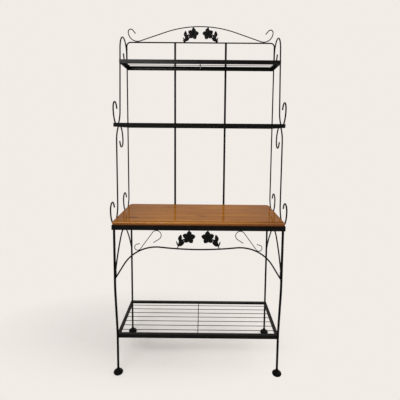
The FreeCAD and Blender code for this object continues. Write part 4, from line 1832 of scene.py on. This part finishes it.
# ------------------------------------------------------------------ welds
@dataclass
class Welds(SubAssembly):
    """The beads where rods, bars and rails meet.

    A bead has a radius, a ripple and half its length, which is its reach. A ring is a bead round
    a rod's end, a mitre bead lies inside a frame's corner, and a fillet fills the narrow space
    between an arch and its leg.
    """

    hutch: Hutch
    finish: bpy.types.Material
    radius: float = 0.0013
    reach: float = 0.006
    ripple: float = 0.16
    spacing: float = 0.0014
    fewest: int = 4
    ring_radius: float = 0.0011
    ring_ripple: float = 0.12
    ring_points: int = 24
    mitre_radius: float = 0.001
    mitre_gaps: tuple[float, float] = (0.001, 0.004)
    arch_ring: float = 0.0034
    arch_height: float = 0.002
    fillet_radius: float = 0.0023
    fillet_ripple: float = 0.06
    fillet_sides: int = 10
    fillet_start: tuple[float, float, float] = (0.0004, 0.0015, 0.003)
    fillet_length: float = 0.032
    fillet_points: int = 11
    leg_inset: float = 0.0004
    leg_reach: float = 0.008
    leg_spread: float = 0.7
    leg_proud: float = 0.0006
    beads: list[Tube] = field(default_factory=list)

    def build(self) -> list[Piece]:
        """Lays every bead.

        Returns:
            One piece that holds them all.
        """
        self.side_rods()
        self.bars()
        self.corners()
        for side in Side:
            self.arch_ends(side)
            self.leg_joints(side)
        return [add_piece("weld_beads", tubes_mesh(self.beads), self.finish)]

    def bead(self, start: Vector, end: Vector, radius: float) -> None:
        """Lays a rippled bead from one point to another.

        Args:
            start: Where it starts.
            end: Where it ends.
            radius: Its radius.
        """
        count = max(self.fewest, int((end - start).length / self.spacing))
        line = [start.lerp(end, index / count) for index in range(count + 1)]
        self.beads.append(Tube(line, radius, BEAD_SIDES, ripple=self.ripple))

    def beside(self, at: Vector, across: Vector, half: Vector) -> None:
        """Lays a bead on both sides of a place.

        Args:
            at: The place.
            across: How far from it the beads lie, and in what direction.
            half: The direction that they run in, half a bead long.
        """
        for way in (-1, 1):
            self.bead(at + across * way - half, at + across * way + half, self.radius)

    def ring(self, centre: Vector, radius: float) -> None:
        """Lays a bead round an upright rod.

        Args:
            centre: The ring's centre.
            radius: The ring's radius.
        """
        line = []
        for angle in (*around(self.ring_points), 360.0):
            line.append(centre + Vector((radius * cos(angle), radius * sin(angle), 0.0)))
        self.beads.append(Tube(line, self.ring_radius, BEAD_SIDES, ripple=self.ring_ripple))

    def side_rods(self) -> None:
        """Lays the beads where the hoop and the scrolled rods touch the side rails."""
        hutch = self.hutch
        rod, hook = hutch.rod, hutch.hook.half_width
        bellies = (
            (rod + hook, Level.WORKTOP),
            (hutch.lower_depth + hook, Level.WORKTOP),
            (hutch.lower_depth - hook, Level.SECOND),
            (hutch.rear + hutch.curl, Level.TOP),
        )
        for side in Side:
            x = side.value * (hutch.x - rod)
            for level in (Level.SECOND, Level.TOP):
                at = Vector((x, hutch.wall - rod, hutch.middle(level)))
                self.beside(at, TO_WALL * rod, UP * self.reach)
            for depth, level in bellies:
                at = Vector((x, hutch.wall - depth, hutch.middle(level)))
                self.beside(at, UP * rod, TO_WALL * self.reach)

    def bars(self) -> None:
        """Lays the beads along the flat bars at each rear rail."""
        for side in Side:
            low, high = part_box(f"back_bar_{side.word}")
            for level in (Level.WORKTOP, Level.SECOND, Level.TOP):
                at = Vector(((low.x + high.x) / 2, self.hutch.wall, self.hutch.middle(level)))
                self.beside(at, TO_RIGHT * ((high.x - low.x) / 2), UP * self.reach)

    def corners(self) -> None:
        """Lays the beads along the mitres inside the corners of the frames."""
        foot, head = self.mitre_gaps
        for level in Level:
            low, high = rail_box(level, Edge.FRONT)[0], rail_box(level, Edge.REAR)[1]
            for x in (low.x + ANGLE_IRON, high.x - ANGLE_IRON):
                for y in (low.y + ANGLE_IRON, high.y - ANGLE_IRON):
                    top = Vector((x, y, high.z - head))
                    self.bead(top, Vector((x, y, low.z + foot)), self.mitre_radius)

    def arch_ends(self, side: Side) -> None:
        """Lays a ring at both ends of a side arch, and the fillet beside the front one.

        Args:
            side: The arch's side.
        """
        low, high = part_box(f"side_arch_{side.word}")
        x = (low.x + high.x) / 2
        for y in (low.y, high.y):
            self.ring(Vector((x, y, low.z + self.arch_height)), self.arch_ring)
        inset, back, up = self.fillet_start
        inward = half_thickness(f"front_leg_{side.word}", Axis.X) - inset
        foot = Vector((x - side.value * inward, low.y + back, low.z + up))
        fillet = []
        for index in range(self.fillet_points):
            fillet.append(foot + UP * (self.fillet_length * index / (self.fillet_points - 1)))
        self.beads.append(Tube(fillet, self.fillet_radius, self.fillet_sides, ripple=self.fillet_ripple))

    def leg_joints(self, side: Side) -> None:
        """Lays a ring at the top of each leg, and the beads where it passes the low shelf.

        Args:
            side: The legs' side.
        """
        for leg, edge, face, way in (("front_leg", Edge.FRONT, 0, -1), ("rear_leg", Edge.REAR, 1, 1)):
            low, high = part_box(f"{leg}_{side.word}")
            x, radius = (low.x + high.x) / 2, (high.x - low.x) / 2
            self.ring(Vector((x, low.y + radius, high.z - self.leg_inset)), radius)
            rail = rail_box(Level.LOWER, edge)
            at = Vector((x, rail[face].y + way * self.leg_proud, (rail[0].z + rail[1].z) / 2))
            self.beside(at, TO_RIGHT * (radius * self.leg_spread), UP * self.leg_reach)


# ------------------------------------------------------------------ studio
@dataclass(frozen=True)
class Lamp:
    """A soft rectangular lamp, with its place, width and height, and power in watts."""

    name: str
    place: tuple[float, float, float]
    size: tuple[float, float]
    power: float

    def hang(self, target: tuple[float, float, float]) -> None:
        """Hangs the lamp so that it faces a point.

        Args:
            target: The point.
        """
        data = bpy.data.lights.new(self.name, "AREA")
        data.shape = "RECTANGLE"
        data.size, data.size_y = self.size
        data.energy = self.power
        lamp = bpy.data.objects.new(self.name, data)
        aim = Vector(target) - Vector(self.place)
        lamp.location = self.place
        lamp.rotation_euler = aim.to_track_quat("-Z", "Y").to_euler()
        bpy.context.scene.collection.objects.link(lamp)


@dataclass
class Studio:
    """The floor, the lamps, the backdrop and the camera.

    pitch is how far the camera looks down, yaw how far to the right, and roll its lean.
    """

    floor: FloorFinish = FloorFinish("floor_paint")
    floor_half: float = 30.0
    light: Colour = (1.0, 0.99, 0.98, 1.0)
    sky: float = 0.58
    eye: tuple[float, float, float] = (0.01859, -1.92395, 1.3489)
    pitch: float = 5.754
    yaw: float = -0.1655
    roll: float = 0.461
    focal: float = 29.903
    sensor: float = 36.0
    shift: tuple[float, float] = (-0.00385, -0.08325)
    lamps: tuple[Lamp, ...] = (
        Lamp("softbox", (-1.0, -2.3, 2.3), (1.5, 0.5), 42.0),
        Lamp("side", (2.2, -0.2, 2.4), (1.4, 1.4), 26.0),
        Lamp("top", (0.1, 0.1, 3.6), (3.0, 3.0), 24.0),
    )
    target: tuple[float, float, float] = (0.0, 0.0, 1.0)

    def build(self) -> None:
        """Sets up the whole studio."""
        self.add_floor()
        self.add_world()
        for lamp in self.lamps:
            lamp.hang(self.target)
        self.add_camera()
        bpy.context.scene.view_settings.view_transform = "Standard"

    def add_floor(self) -> None:
        """Adds a large flat floor."""
        mesh = bmesh.new()
        bmesh.ops.create_grid(mesh, x_segments=8, y_segments=8, size=self.floor_half)
        data = bpy.data.meshes.new("floor")
        mesh.to_mesh(data)
        mesh.free()
        floor = bpy.data.objects.new("floor", data)
        dress(floor, self.floor.material())
        bpy.context.scene.collection.objects.link(floor)
        floor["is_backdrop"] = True

    def add_world(self) -> None:
        """Lights the rack evenly, and shows the backdrop's colour behind it."""
        nodes = Nodes.of_world("backdrop")
        light = nodes.add("ShaderNodeBackground", Color=self.light, Strength=self.sky)
        shown = nodes.add("ShaderNodeBackground", Color=self.floor.backdrop)
        bpy.context.scene.world = nodes.finish(nodes.blended(nodes.seen(), light, shown))

    def add_camera(self) -> None:
        """Sets the camera up."""
        level = cos(self.pitch)
        forward = Vector((sin(self.yaw) * level, cos(self.yaw) * level, -sin(self.pitch)))
        right = forward.cross(UP).normalized()
        down = forward.cross(right)
        across = right * cos(self.roll) - down * sin(self.roll)
        below = right * sin(self.roll) + down * cos(self.roll)
        turn = Matrix((across, -below, -forward)).transposed().to_4x4()
        data = bpy.data.cameras.new("camera")
        data.lens = self.focal
        data.sensor_width = self.sensor
        data.shift_x, data.shift_y = self.shift
        camera = bpy.data.objects.new("camera", data)
        camera.matrix_world = Matrix.Translation(self.eye) @ turn
        bpy.context.scene.collection.objects.link(camera)
        bpy.context.scene.camera = camera


def write_sizes(before: Box) -> None:
    """Writes the frame's box and the dressed rack's box.

    Args:
        before: The frame's box, taken before any piece was built.
    """
    boxes = {"cad": before, "visual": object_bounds()}
    plain = {name: [[float(value) for value in corner] for corner in box] for name, box in boxes.items()}
    LOG.info("sizes: %s", plain)


def main() -> None:
    """Builds the rack in order, reports each piece, and sets up the studio."""
    logging.basicConfig(level=logging.INFO, format="%(name)s: %(message)s")
    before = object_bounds()
    iron = IronFinish("black_iron").material()
    rod = IronFinish("round_iron", sheen=0.03).material()
    cast = IronFinish("cast_iron", pebble=700.0, relief=0.0002, gloss=0.34, matt=0.5).material()
    wire = IronFinish("drawn_wire", pebble=1400.0, relief=0.00006, gloss=0.26, matt=0.4).material()
    steel = IronFinish("screw_steel", paint=srgb(92, 90, 86), worn=srgb(120, 117, 112), gloss=0.3).material()
    wood = WoodFinish("varnished_wood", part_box("worktop_board")[1].z).material()
    apron, hutch = Apron(rod), Hutch(rod)
    hutch_brace = (0.006, 0.010)
    parts: list[SubAssembly] = [
        Frames(iron),
        ShelfGrid(Level.LOWER, wire),
        ShelfGrid(Level.SECOND, wire, brace=hutch_brace),
        ShelfGrid(Level.TOP, wire, brace=hutch_brace),
        Stand(Side.LEFT, rod),
        Stand(Side.RIGHT, rod),
        apron,
        hutch,
        *sprigs(apron, hutch, cast),
        Worktop(wood, steel),
        Welds(hutch, iron),
    ]
    for part in parts:
        for piece in part.build():
            LOG.info("%s: %s, %d faces", type(part).__name__, piece.name, len(piece.data.polygons))
    Studio().build()
    write_sizes(before)


if __name__ == "__main__":
    main()
